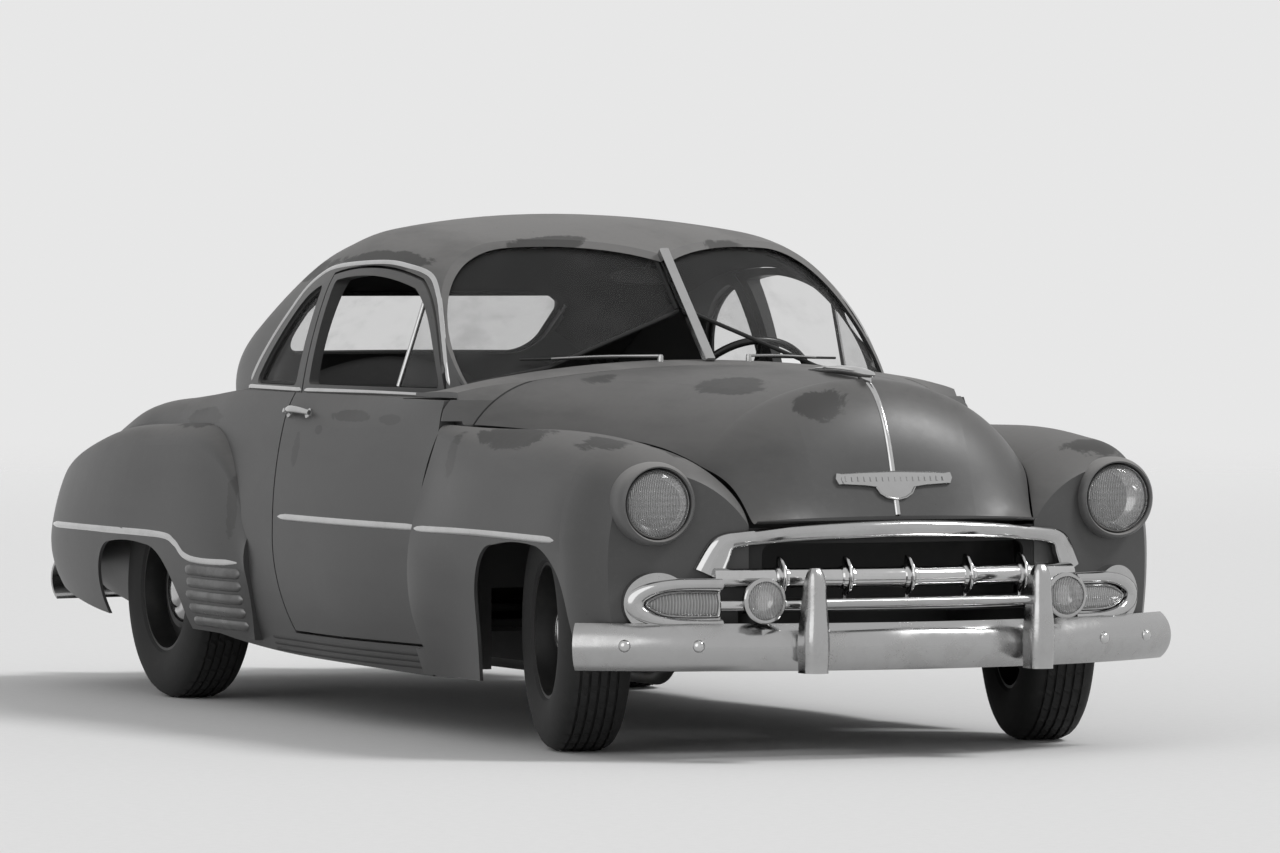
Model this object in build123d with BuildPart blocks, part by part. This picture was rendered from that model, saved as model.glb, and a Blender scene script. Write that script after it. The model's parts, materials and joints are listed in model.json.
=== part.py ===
"""Lowered two-door coupe of the early fifties, in millimetres.

+X points to the front, +Y to the car's left and +Z up. The origin is on the ground, under the middle
of the overall length and on the centre line. The front wheels rest a little turned to the right.
"""

from build123d import *
import math
import os

# Overall sizes
car_length = 5023.0
wheelbase = 2921.0
front_overhang = 800.0
front_axle_x = car_length / 2 - front_overhang
rear_axle_x = front_axle_x - wheelbase
front_half_track = 710.0
rear_half_track = 746.0

# Walls and gaps
door_wall = 66.0
roof_wall = 36.0
deck_wall = 26.0
fender_wall = 10.0
hood_wall = 14.0
glass_wall = 6.0
panel_gap = 8.0
seat_gap = 0.3

# Wheels and tyres
tyre_radius = 336.0
tyre_half_width = 101.0
tread_half_width = 72.0
rim_radius = 190.0
rim_half_width = 82.0
cap_radius = 108.0
kingpin_y = 620.0
rest_steer = 12.0
kingpin_radius = 12.0
drum_back = -44.0
running_gap = 0.1

# Lower body: sill, belt and tail
belt_z = 965.0
sill_z = 178.0
door_bottom_z = 260.0
door_rear_x = -165.0
door_front_x = 1022.0
door_top_z = 962.0
frame_front_x = 716.0
cowl_x = 1104.0
tail_x = -2350.0

# Sections of the lower body across the car, from the tail to the cowl
TUB_COLUMNS = "x foot_y foot_z side_y side_z shoulder_y shoulder_z edge_y edge_z crown_z"
TUB_SECTIONS = [
    (tail_x, 500, 330, 550, 400, 520, 470, 430, 500, 520),
    (-2300, 560, 300, 622, 430, 598, 540, 520, 590, 615),
    (-2190, 635, 280, 750, 500, 715, 640, 600, 700, 727),
    (-2000, 660, 265, 780, 520, 750, 730, 640, 800, 838),
    (-1750, 670, 255, 790, 540, 765, 800, 660, 870, 920),
    (-1450, 700, 250, 800, 560, 780, 850, 680, 915, 968),
    (-1050, 780, 235, 835, 580, 805, 860, 735, 940, 985),
    (-600, 815, 205, 872, 580, 838, 868, 792, 968, 1000),
    (-100, 830, 185, 885, 570, 847, 872, 800, 975, 1010),
    (500, 838, sill_z, 886, 570, 848, 875, 800, 982, 1015),
    (cowl_x, 838, sill_z, 882, 570, 846, 875, 790, 988, 1030),
]

# Sections of the roof and pillars, from the backlight to the windshield
ROOF_COLUMNS = "x crown_z bend_y bend_z rail_y rail_z base_y"
ROOF_SECTIONS = [
    (-1488, 990, 60, 986, 105, 978, 125),
    (-1400, 1088, 150, 1071, 290, 1017, 335),
    (-1250, 1212, 220, 1185, 432, 1076, 492),
    (-1000, 1335, 300, 1295, 618, 1110, 662),
    (-700, 1425, 400, 1380, 668, 1190, 766),
    (-400, 1480, 460, 1430, 694, 1240, 792),
    (-100, 1500, 480, 1458, 712, 1268, 787),
    (200, 1487, 460, 1450, 700, 1280, 760),
    (450, 1458, 430, 1425, 664, 1275, 728),
    (650, 1402, 400, 1370, 626, 1240, 697),
    (850, 1300, 380, 1272, 612, 1130, 664),
]
roof_base_z = 930.0

# Front fender sections, from the door to the nose; lean turns a section's outer side to the rear
FENDER_COLUMNS = "x lean seam_y seam_z crown_y crown_z knee_y knee_z side_y side_z foot_y foot_z"
FENDER_SECTIONS = [
    (880, 0, 785, 898, 802, 900, 848, 862, 886, 590, 838, 178),
    (1110, 0, 780, 888, 806, 892, 853, 852, 890, 590, 843, 180),
    (1340, 0, 675, 878, 757, 889, 858, 826, 895, 590, 854, 180),
    (1570, 0, 588, 865, 735, 892, 856, 817, 896, 590, 862, 190),
    (1800, 0, 543, 848, 727, 884, 852, 805, 895, 580, 864, 230),
    (2034, 0.1, 505, 798, 719, 866, 846, 785, 890, 565, 862, 285),
]
FENDER_NOSE_SECTIONS = [
    (2034, 0.1, 505, 798, 719, 866, 846, 785, 890, 565, 862, 285),
    (2110, 0.15, 484, 774, 715, 858, 841, 775, 885, 562, 859, 298),
    (2182, 0.2, 457, 727, 711, 840, 830, 757, 868, 560, 846, 314),
    (2246, 0.2, 437, 640, 705, 790, 798, 720, 824, 560, 808, 334),
]

# Hood sections: the nose drops to the front edge
HOOD_COLUMNS = "x crown_z bend_y bend_z edge_y edge_z"
HOOD_SECTIONS = [
    (1114, 1062, 560, 1024, 772, 896),
    (1340, 1063, 440, 1023, 667, 885),
    (1570, 1060, 350, 1019, 580, 872),
    (1800, 1052, 300, 1008, 535, 855),
    (2034, 1036, 270, 985, 497, 806),
]
HOOD_NOSE_SECTIONS = [
    (2034, 1036, 270, 985, 497, 806),
    (2110, 1016, 258, 964, 476, 780),
    (2182, 940, 248, 892, 449, 734),
    (2246, 787, 242, 755, 429, 655),
    (2282, 664, 240, 661, 428, 654),
]

# Rear fender sections, from the leading edge on the quarter panel to the tail
REAR_FENDER_COLUMNS = "x root_y root_z crown_y crown_z knee_y knee_z side_y side_z foot_y foot_z"
REAR_FENDER_SECTIONS = [
    (-392, 800, 560, 830, 562, 868, 540, 884, 420, 852, 215),
    (-520, 800, 735, 832, 742, 884, 690, 905, 470, 862, 222),
    (-700, 790, 835, 830, 842, 896, 780, 924, 520, 872, 228),
    (-1000, 770, 848, 826, 856, 904, 790, 935, 540, 884, 232),
    (-1350, 745, 836, 818, 844, 904, 780, 939, 540, 890, 238),
    (-1700, 715, 798, 796, 806, 890, 742, 930, 530, 884, 262),
    (-2000, 690, 742, 764, 750, 856, 690, 898, 520, 858, 300),
    (-2200, 660, 664, 728, 672, 800, 622, 836, 500, 802, 330),
    (-2300, 620, 560, 660, 566, 716, 540, 742, 470, 716, 360),
]


def table(columns, rows):
    """Each row of a table of sections as a dictionary by column name."""
    names = columns.split()
    return [dict(zip(names, row)) for row in rows]


def across(x, lean=0, pivot_y=437):
    """Plane across the car at x, with its own x to the left and its own y up; lean turns it in plan."""
    return Plane(origin=(x + lean * pivot_y, 0, 0), x_dir=(-lean, 1, 0), z_dir=(1, lean, 0))


def beside(side, inner, outer):
    """Side-view plane from which a depth of outer - inner reaches towards the right of the car."""
    start = outer if side > 0 else -inner
    return Plane(origin=(0, start, 0), x_dir=(1, 0, 0), z_dir=(0, -1, 0))


def finish(builder, name):
    """Label a finished piece and write it."""
    builder.part.label = name
    export_step(builder.part, f"parts/{name}.step")


def save_pair(make, name):
    """Make the left piece, mirror it for the right, and write both."""
    left = make()
    finish(left, f"{name}_left")
    with BuildPart() as right:
        mirror(left.part, about=Plane.XZ)
    finish(right, f"{name}_right")
    return left, right


def tub_section(s, inset, floor_drop, roof_inset):
    """One section of the lower body, with its walls moved in by inset."""
    foot = (s["foot_y"] - inset, s["foot_z"] - floor_drop)
    side = (s["side_y"] - inset, s["side_z"])
    shoulder = (s["shoulder_y"] - inset, s["shoulder_z"] - roof_inset)
    edge = (s["edge_y"] - inset, s["edge_z"] - roof_inset)
    crown = (0, s["crown_z"] - roof_inset)
    with BuildSketch(across(s["x"])) as outline:
        with BuildLine():
            Line((0, foot[1]), foot)
            flank = ThreePointArc(foot, side, shoulder)
            TangentArc(shoulder, edge, tangent=flank % 1)
            TangentArc(crown, edge, tangent=(1, 0))
            mirror(about=Plane.YZ)
        make_face()
    return outline.sketch


def roof_section(s, inset, base):
    """One section of the roof, with its skin moved in by inset and its foot at height base."""
    crown = (0, s["crown_z"] - inset)
    bend = (s["bend_y"] * (1 - inset / 900), s["bend_z"] - inset)
    rail = (s["rail_y"] - 0.9 * inset, s["rail_z"] - 0.45 * inset)
    foot = (s["base_y"] - inset + 0.1 * (belt_z - base), base)
    with BuildSketch(across(s["x"])) as outline:
        with BuildLine():
            top = TangentArc(crown, bend, tangent=(1, 0))
            corner = TangentArc(bend, rail, tangent=top % 1)
            TangentArc(rail, foot, tangent=corner % 1)
            Line(foot, (0, base))
            mirror(about=Plane.YZ)
        make_face()
    return outline.sketch


def moved_in(edge, share, inset):
    """Point on an edge, moved square to the edge by inset towards its right-hand side."""
    spot = edge @ share
    way = edge % share
    return (spot.X + inset * way.Y, spot.Y - inset * way.X)


def skin_section(s, inset, drop, root):
    """One section of a left fender from its root (seam or body side) over the crown to its foot."""
    lean = s.get("lean", 0)
    spread = math.hypot(1, lean)
    start = (s[f"{root}_y"] * spread, s[f"{root}_z"])
    crown = (s["crown_y"] * spread, s["crown_z"])
    knee = (s["knee_y"] * spread, s["knee_z"])
    side = (s["side_y"] * spread, s["side_z"])
    foot = (s["foot_y"] * spread, s["foot_z"])
    with BuildLine():
        back = TangentArc(crown, start, tangent=(-1, 0))
        top = TangentArc(crown, knee, tangent=(1, 0))
        flank = TangentArc(knee, side, tangent=top % 1)
        low = TangentArc(side, foot, tangent=flank % 1)
    start = moved_in(back, 1, -inset)
    crown = moved_in(top, 0, inset)
    knee = moved_in(top, 1, inset)
    side = moved_in(flank, 1, inset)
    foot = moved_in(low, 1, inset)
    root_y = s[f"{root}_y"] * spread - 3 * inset
    with BuildSketch(across(s["x"], lean)) as outline:
        with BuildLine():
            TangentArc(crown, start, tangent=(-1, 0))
            over = TangentArc(crown, knee, tangent=(1, 0))
            face = TangentArc(knee, side, tangent=over % 1)
            TangentArc(side, foot, tangent=face % 1)
            if inset:
                Line(foot, (foot[0], foot[1] - drop))
                Line((root_y, start[1]), start)
            Line((foot[0], foot[1] - drop), (root_y, foot[1] - drop))
            Line((root_y, foot[1] - drop), (root_y, start[1]))
        make_face()
    return outline.sketch


def hood_section(s, inset, drop):
    """One section of the hood, closed underneath."""
    crown = (0, s["crown_z"] - inset)
    bend = (s["bend_y"], s["bend_z"] - inset)
    edge = (s["edge_y"] - inset, s["edge_z"])
    with BuildSketch(across(s["x"])) as outline:
        with BuildLine():
            top = TangentArc(crown, bend, tangent=(1, 0))
            TangentArc(bend, edge, tangent=top % 1)
            Line(edge, (edge[0], edge[1] - drop - 1))
            Line((edge[0], edge[1] - drop - 1), (0, edge[1] - drop - 1))
            mirror(about=Plane.YZ)
        make_face()
    return outline.sketch


os.makedirs("parts", exist_ok=True)

# Outer and inner forms of the body, before it is cut into panels
with BuildPart() as body_outer:
    loft([tub_section(s, 0, 0, 0) for s in table(TUB_COLUMNS, TUB_SECTIONS)])
    split(bisect_by=Plane.XY.offset(belt_z), keep=Keep.BOTTOM)

with BuildPart() as cabin_space:
    inner_rows = table(TUB_COLUMNS, TUB_SECTIONS)
    inner_rows[0]["x"] += deck_wall
    loft([tub_section(s, door_wall, 120, deck_wall) for s in inner_rows])
    split(bisect_by=Plane.XY.offset(belt_z - deck_wall), keep=Keep.BOTTOM)

# Windshield planes: two flat panes that meet in a vee at the centre post
post_foot = Vector(1022, 0, 1075)
post_head = Vector(698, 0, 1386)
pane_corner = Vector(810, 632, 1026)
pane_normal = (post_head - post_foot).cross(pane_corner - post_foot).normalized() * -1


def pane_plane(side, shift):
    """Plane of one windshield pane, moved forward by shift, with its normal to the front."""
    normal = Vector(pane_normal.X, side * pane_normal.Y, pane_normal.Z)
    return Plane(origin=post_foot + normal * shift, x_dir=(post_head - post_foot).normalized(), z_dir=normal)


with BuildPart() as roof_outer:
    loft([roof_section(s, 0, roof_base_z) for s in table(ROOF_COLUMNS, ROOF_SECTIONS)])

with BuildPart() as roof_space:
    loft([roof_section(s, roof_wall, roof_base_z - 60) for s in table(ROOF_COLUMNS, ROOF_SECTIONS)[1:]])


# Door outlines in side view
def door_lower_outline():
    """Lower door, from the sill to the belt, as a closed outline."""
    with BuildSketch() as door:
        with BuildLine():
            Line((door_rear_x, 1060), (door_rear_x, 560))
            ThreePointArc((door_rear_x, 560), (door_rear_x + 26, 380), (door_rear_x + 110, door_bottom_z))
            Line((door_rear_x + 110, door_bottom_z), (968, door_bottom_z))
            ThreePointArc((968, door_bottom_z), (909, 597), (door_front_x, 870))
            Polyline(
                (door_front_x, 870), (door_front_x, door_top_z), (frame_front_x, door_top_z), (frame_front_x, 1060),
                (door_rear_x, 1060),
            )
        make_face()
    return door.sketch


def door_upper_outline():
    """Window frame of the door, from the belt to the roof rail, as a closed outline."""
    with BuildSketch() as frame:
        with BuildLine():
            Line((door_rear_x, 900), (door_rear_x, 1316))
            ThreePointArc((door_rear_x, 1316), (165, 1336), (430, 1300))
            ThreePointArc((430, 1300), (612, 1168), (frame_front_x, 985))
            Line((frame_front_x, 985), (frame_front_x, 900))
            Line((frame_front_x, 900), (door_rear_x, 900))
        make_face()
    return frame.sketch


def prism(outline, side, inner, outer, grow=0):
    """Solid on one side of the car with the given side-view outline, grown by a margin."""
    with BuildPart() as solid:
        with BuildSketch(beside(side, inner, outer)):
            add(outline)
            if grow:
                offset(amount=grow, kind=Kind.INTERSECTION)
        extrude(amount=outer - inner)
    return solid.part


shelf_inner_y = 700
frame_inner_y = 560
outboard_y = 980
frame_border = 22
window_low_z = 990
window_rear_x = -125
quarter_front_x = -225
vent_divider_x = (421, 501)


def door_window_outline():
    """Window opening of the door: its frame's outline moved in, above the belt."""
    with BuildSketch() as window:
        add(door_upper_outline())
        offset(amount=-frame_border)
        with Locations((window_rear_x + 700, window_low_z + 250)):
            Rectangle(1400, 500, mode=Mode.INTERSECT)
        fillet([v for v in window.vertices() if v.Y < window_low_z + 5 or v.X < 0], radius=16)
    return window.sketch


def quarter_window_outline():
    """Quarter window: upright in front, with its top and rear edge on one arc."""
    with BuildSketch() as window:
        with BuildLine():
            ThreePointArc((quarter_front_x, 1288), (-452, 1186), (-592, window_low_z - 5))
            Line((-592, window_low_z - 5), (quarter_front_x, window_low_z - 5))
            Line((quarter_front_x, window_low_z - 5), (quarter_front_x, 1288))
        make_face()
        fillet(window.vertices(), radius=20)
    return window.sketch


def arch_outline(points):
    """Wheel arch in side view: a leg, arcs through points taken in threes, and a leg."""
    with BuildSketch() as arch:
        with BuildLine():
            Line(points[0], points[1])
            for start, middle, end in zip(points[1:-3:2], points[2:-2:2], points[3:-1:2]):
                ThreePointArc(start, middle, end)
            Line(points[-2], points[-1])
            Line(points[-1], points[0])
        make_face()
    return arch.sketch


front_arch = [
    (1350, 60), (1350, 395), (1402, 520), (1530, 571), (1693, 584), (1835, 577),
    (1945, 520), (2006, 425), (2104, 60),
]
rear_arch = [
    (-1540, 60), (-1540, 240), (-1556, 385), (-1440, 480), (-1290, 489), (-1110, 482),
    (-955, 432), (-860, 318), (-808, 60),
]

# Cowl: the panel between the hood and the windshield
cowl_half = 790
COWL_COLUMNS = "x edge_z bend_y bend_z crown_z"
COWL_SECTIONS = [
    (720, 980, 640, 985, 1072),
    (900, 986, 640, 1020, 1074),
    (1022, 986, 632, 1024, 1072),
    (cowl_x, 978, 560, 1024, 1062),
]


def cowl_section(s):
    """One section of the cowl, closed underneath just below the belt."""
    bend = (s["bend_y"], s["bend_z"])
    edge = (cowl_half, s["edge_z"])
    low = belt_z - 20
    with BuildSketch(across(s["x"])) as outline:
        with BuildLine():
            top = TangentArc((0, s["crown_z"]), bend, tangent=(1, 0))
            TangentArc(bend, edge, tangent=top % 1)
            Line(edge, (cowl_half + 3, low))
            Line((cowl_half + 3, low), (0, low))
            mirror(about=Plane.YZ)
        make_face()
    return outline.sketch


with BuildPart() as cowl_outer:
    loft([cowl_section(s) for s in table(COWL_COLUMNS, COWL_SECTIONS)])

rim_wall = 14
rim_depth = 44


def half_space(side, gap):
    """Block on one side of the car's middle, a gap away from it."""
    with BuildPart() as half:
        with BuildSketch(Plane.XZ.offset(-side * gap)):
            with Locations((800, 1200)):
                Rectangle(1200, 1200)
        extrude(amount=-side * 900)
    return half.part


def pane_room(side, near, far, inset, gap):
    """Slab behind one windshield pane plane, inside the roof's skin moved in by inset."""
    with BuildPart() as room:
        loft([roof_section(s, inset, roof_base_z - 60) for s in table(ROOF_COLUMNS, ROOF_SECTIONS)[5:]])
        with BuildSketch(pane_plane(side, -far)):
            Rectangle(2600, 2600)
        extrude(amount=far - near, mode=Mode.INTERSECT)
        add(half_space(side, gap), mode=Mode.INTERSECT)
    return room.part


# The whole shell of the cab, hollow, with its windshield cut by the two pane planes
with BuildPart() as shell:
    add(roof_outer.part)
    for side in (1, -1):
        with BuildSketch(pane_plane(side, 0)):
            Rectangle(2600, 2600)
        extrude(amount=900, mode=Mode.SUBTRACT)
    for side in (1, -1):
        add(pane_room(side, -1, rim_depth, rim_wall, -1), mode=Mode.SUBTRACT)
    add(cowl_outer.part)
    add(body_outer.part)
    add(cabin_space.part, mode=Mode.SUBTRACT)
    add(roof_space.part, mode=Mode.SUBTRACT)

door_zones = {
    side: [
        prism(door_lower_outline(), side, shelf_inner_y, outboard_y),
        prism(door_upper_outline(), side, frame_inner_y, outboard_y),
    ]
    for side in (1, -1)
}
door_openings = {
    side: [
        prism(door_lower_outline(), side, shelf_inner_y - panel_gap, outboard_y, panel_gap),
        prism(door_upper_outline(), side, frame_inner_y, outboard_y, panel_gap),
    ]
    for side in (1, -1)
}

# Trunk lid zone, rear window and wheel openings
lid_front_x = -1560
lid_half = 500
lid_bottom_z = 440
rear_window_half = 430
rear_window_low = 1062
rear_window_high = 1256


def lid_zone(margin):
    """Block that holds the trunk lid, grown by a margin."""
    low = lid_bottom_z - margin
    with BuildPart() as zone:
        with BuildSketch(Plane.XY.offset(low)):
            with Locations(((lid_front_x + margin + tail_x - 100) / 2, 0)):
                RectangleRounded(lid_front_x + margin - tail_x + 100, 2 * (lid_half + margin), 60)
        extrude(amount=1200 - low)
    return zone.part


def rear_window_zone(margin):
    """Block that cuts the rear window through the back of the roof, smaller by a margin."""
    height = rear_window_high - rear_window_low
    with BuildPart() as zone:
        with BuildSketch(across(-1600)):
            with Locations((0, (rear_window_high + rear_window_low) / 2)):
                RectangleRounded(2 * (rear_window_half - margin), height - 2 * margin, 70 - margin)
        extrude(amount=800)
    return zone.part


# The cowl's front corners run into the hood's shoulders
CORNER_COLUMNS = "x start_y start_z middle_y middle_z end_y"
CORNER_SECTIONS = [
    (door_front_x + panel_gap, 560, 1040, 768, 1003, 856),
    (cowl_x + 1, 560, 1026, 674, 987, 772),
]
corner_low = 896


def corner_cut(side):
    """Block outside the line from the door's front edge to the hood's rear shoulder."""
    with BuildPart() as block:
        for s in table(CORNER_COLUMNS, CORNER_SECTIONS):
            start = (side * s["start_y"], s["start_z"])
            end = (side * s["end_y"], corner_low)
            with BuildSketch(across(s["x"])):
                with BuildLine():
                    ThreePointArc(start, (side * s["middle_y"], s["middle_z"]), end)
                    Polyline(end, (side * 1000, corner_low), (side * 1000, 1100), (start[0], 1100), start)
                make_face()
        loft()
    return block.part


# Hinge pillars and firewall stand inside the front fenders' rear ends
pillar_outer_y = 795
pillar_inner_y = 715
fender_top_z = 905
firewall_x = cowl_x - 22
cowl_space_x = 856
cowl_space_z = 1030
cowl_space_half = 480
cowl_side_half = 600
cowl_side_z = 984
tunnel_half = 136
tunnel_top_z = 560
rail_inner_y = 400
rail_width = 60
house_radius = tyre_radius + 50
house_inner_y = 600

with BuildPart() as cab:
    add(shell.part)
    for side in (1, -1):
        with BuildSketch(Plane.XY.offset(100)):
            with Locations((995, side * (pillar_outer_y + outboard_y) / 2)):
                Rectangle(230, outboard_y - pillar_outer_y)
        extrude(amount=fender_top_z - 100, mode=Mode.SUBTRACT)
    for side in (1, -1):
        with BuildSketch(Plane.XY.offset(sill_z + 20)):
            with Locations(((890 + cowl_x) / 2, side * (pillar_outer_y + pillar_inner_y) / 2)):
                Rectangle(cowl_x - 890, pillar_outer_y - pillar_inner_y)
        extrude(amount=belt_z - 15 - sill_z - 20)
    with BuildSketch(Plane.XY.offset(430)):
        with Locations(((firewall_x + cowl_x) / 2, 0)):
            Rectangle(cowl_x - firewall_x, 2 * pillar_inner_y)
    extrude(amount=belt_z - 10 - 430)
    with BuildSketch(Plane.XY.offset(400)):
        with Locations(((firewall_x + cowl_x) / 2, 0)):
            Rectangle(60, 2 * tunnel_half)
    extrude(amount=tunnel_top_z - 400, mode=Mode.SUBTRACT)
    for side in (1, -1):
        for opening in door_openings[side]:
            add(opening, mode=Mode.SUBTRACT)
        add(prism(quarter_window_outline(), side, frame_inner_y, outboard_y), mode=Mode.SUBTRACT)
        add(prism(arch_outline(rear_arch), side, 560, outboard_y, 12), mode=Mode.SUBTRACT)
        with BuildSketch(beside(side, house_inner_y - 2, outboard_y)):
            with Locations((rear_axle_x, tyre_radius)):
                Circle(house_radius + 2)
        extrude(amount=outboard_y - house_inner_y + 2, mode=Mode.SUBTRACT)
    for half, high in ((cowl_space_half, cowl_space_z), (cowl_side_half, cowl_side_z)):
        with BuildSketch(Plane.XY.offset(belt_z - 45)):
            with Locations(((cowl_space_x + firewall_x) / 2, 0)):
                Rectangle(firewall_x - cowl_space_x, 2 * half)
        extrude(amount=high - belt_z + 45, mode=Mode.SUBTRACT)
    with BuildSketch(Plane.XY.offset(belt_z - 45)):
        with Locations((780, 0)):
            Rectangle(2 * (cowl_space_x - 780) + 1, 2 * shelf_inner_y)
    extrude(amount=45, mode=Mode.SUBTRACT)
    for side in (1, -1):
        add(corner_cut(side), mode=Mode.SUBTRACT)
    add(lid_zone(panel_gap), mode=Mode.SUBTRACT)
    add(rear_window_zone(0), mode=Mode.SUBTRACT)

with BuildPart() as cab_upper:
    add(cab.part)
    split(bisect_by=Plane.XY.offset(belt_z), keep=Keep.TOP)
finish(cab_upper, "cab_upper")

with BuildPart() as cab_lower:
    add(cab.part)
    split(bisect_by=Plane.XY.offset(belt_z), keep=Keep.BOTTOM)
finish(cab_lower, "cab_lower")


def make_door():
    """Left door: lower panel, belt shelf and window frame in one."""
    with BuildPart() as zone:
        for block in door_zones[1]:
            add(block)
    with BuildPart() as door:
        add(shell.part)
        add(zone.part, mode=Mode.INTERSECT)
        add(prism(door_window_outline(), 1, frame_inner_y, outboard_y), mode=Mode.SUBTRACT)
    return door


save_pair(make_door, "door")

with BuildPart() as trunk_lid:
    add(shell.part)
    add(lid_zone(0), mode=Mode.INTERSECT)
finish(trunk_lid, "trunk_lid")


def stacked(section, groups, **shape):
    """Solid through groups of sections, each group lofted and joined to the last."""
    with BuildPart() as solid:
        for rows in groups:
            loft([section(s, **shape) for s in rows])
    return solid.part


def hollow_rows(columns, groups, wall):
    """Section tables for the space inside a panel whose last section is a closed front wall."""
    inner = [table(columns, rows) for rows in groups]
    inner[0][0]["x"] -= 1
    inner[-1][-1]["x"] -= wall
    return inner


with BuildPart() as hood:
    groups = [HOOD_SECTIONS, HOOD_NOSE_SECTIONS]
    add(stacked(hood_section, [table(HOOD_COLUMNS, rows) for rows in groups], inset=0, drop=0))
    inner = hollow_rows(HOOD_COLUMNS, groups, hood_wall)
    add(stacked(hood_section, inner, inset=hood_wall, drop=60), mode=Mode.SUBTRACT)
finish(hood, "hood")


def make_front_fender():
    """Left front fender: a skin with its wheel arch, open to the engine bay."""
    groups = [FENDER_SECTIONS, FENDER_NOSE_SECTIONS]
    outer = [table(FENDER_COLUMNS, rows) for rows in groups]
    inner = hollow_rows(FENDER_COLUMNS, groups, fender_wall)
    with BuildPart() as fender:
        add(stacked(skin_section, outer, inset=0, drop=0, root="seam"))
        add(stacked(skin_section, inner, inset=fender_wall, drop=60, root="seam"), mode=Mode.SUBTRACT)
        add(prism(arch_outline(front_arch), 1, 560, outboard_y), mode=Mode.SUBTRACT)
        add(door_openings[1][0], mode=Mode.SUBTRACT)
        with BuildSketch(Plane.XY.offset(100)):
            with Locations((800, 800)):
                Rectangle(200, 400)
        extrude(amount=900, mode=Mode.SUBTRACT)
        add(cab_lower.part, mode=Mode.SUBTRACT)
        with BuildSketch(across(2150)):
            with Locations((rail_inner_y + rail_width / 2, 350)):
                Rectangle(rail_width + 12, 120)
        extrude(amount=200, mode=Mode.SUBTRACT)
    return fender


fender_left, fender_right = save_pair(make_front_fender, "front_fender")


def make_rear_fender():
    """Left rear fender: a bulge with its wheel arch, seated on the quarter panel."""
    rows = table(REAR_FENDER_COLUMNS, REAR_FENDER_SECTIONS)
    inner = [dict(s) for s in rows]
    inner[0]["x"] -= fender_wall
    inner[-1]["x"] += fender_wall
    with BuildPart() as fender:
        loft([skin_section(s, 0, 0, "root") for s in rows])
        loft([skin_section(s, fender_wall, 60, "root") for s in inner], mode=Mode.SUBTRACT)
        add(prism(arch_outline(rear_arch), 1, 560, outboard_y), mode=Mode.SUBTRACT)
        add(body_outer.part, mode=Mode.SUBTRACT)
        add(door_openings[1][0], mode=Mode.SUBTRACT)
    return fender


rear_fender_left, rear_fender_right = save_pair(make_rear_fender, "rear_fender")


# Running gear


def hub_plane(x, y, steer):
    """Plane at a wheel's centre whose z points outboard along the axle, turned by steer about the kingpin."""
    side = math.copysign(1, y)
    turn = math.radians(steer)
    arm = abs(y) - kingpin_y
    across_y = side * math.cos(turn)
    across_x = -side * math.sin(turn)
    if steer == 0:
        origin = (x, y, tyre_radius)
    else:
        origin = (x + arm * across_x, side * kingpin_y + arm * across_y, tyre_radius)
    return Plane(origin=origin, x_dir=(0, 0, 1), z_dir=(across_x, across_y, 0))


def turned_about(hub, outline):
    """Solid of revolution about a wheel's axle: outline is in radius and distance outboard."""
    flat = Plane(origin=hub.origin, x_dir=hub.x_dir, z_dir=hub.x_dir.cross(hub.z_dir))
    with BuildPart() as solid:
        with BuildSketch(flat):
            add(outline)
        revolve(axis=Axis(hub.origin, hub.z_dir))
    return solid


def tyre_outline():
    """Half section of a tyre: beads, round sidewalls and a flat tread."""
    shoulder_r = tyre_radius - 9
    with BuildSketch() as section:
        with BuildLine():
            Line((rim_radius, -rim_half_width), (rim_radius, rim_half_width))
            ThreePointArc((rim_radius, rim_half_width), (262, tyre_half_width), (shoulder_r, tread_half_width))
            Line((shoulder_r, tread_half_width), (tyre_radius, tread_half_width - 14))
            Line((tyre_radius, tread_half_width - 14), (tyre_radius, 14 - tread_half_width))
            Line((tyre_radius, 14 - tread_half_width), (shoulder_r, -tread_half_width))
            ThreePointArc((shoulder_r, -tread_half_width), (262, -tyre_half_width), (rim_radius, -rim_half_width))
        make_face()
    return section.sketch


def wheel_outline():
    """Half section of a steel wheel with its drum behind and its small cap in front."""
    face = 36
    with BuildSketch() as section:
        with BuildLine():
            Polyline(
                (0, face - 40), (60, face - 40), (120, face - 4), (150, face - 12), (168, face - 30),
                (rim_radius - 8, face - 30), (rim_radius - 8, rim_half_width), (rim_radius, rim_half_width),
                (rim_radius, -rim_half_width), (rim_radius - 8, -rim_half_width), (rim_radius - 8, face - 44),
                (166, face - 44), (148, face - 24), (128, face - 17), (140, face - 40), (140, drum_back),
                (0, drum_back), close=True,
            )
        make_face()
    return section.sketch


def cap_outline():
    """Half section of a hub cap: a shallow dome with a stepped centre."""
    seat = 36 - 40
    with BuildSketch() as section:
        with BuildLine():
            Line((0, seat), (0, seat + 66))
            TangentArc((0, seat + 66), (52, seat + 57), tangent=(1, 0))
            Line((52, seat + 57), (58, seat + 52))
            ThreePointArc((58, seat + 52), (88, seat + 46), (cap_radius, seat + 32))
            Line((cap_radius, seat + 32), (cap_radius - 3, seat + 30))
            Line((cap_radius - 3, seat + 30), (56, seat))
            Line((56, seat), (0, seat))
        make_face()
    return section.sketch


steer_turn = -rest_steer
corners = {
    "front_left": hub_plane(front_axle_x, front_half_track, steer_turn),
    "front_right": hub_plane(front_axle_x, -front_half_track, steer_turn),
    "rear_left": hub_plane(rear_axle_x, rear_half_track, 0),
    "rear_right": hub_plane(rear_axle_x, -rear_half_track, 0),
}
for corner, hub in corners.items():
    finish(turned_about(hub, tyre_outline()), f"tyre_{corner}")
    finish(turned_about(hub, wheel_outline()), f"wheel_{corner}")
    finish(turned_about(hub, cap_outline()), f"hubcap_{corner}")

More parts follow.
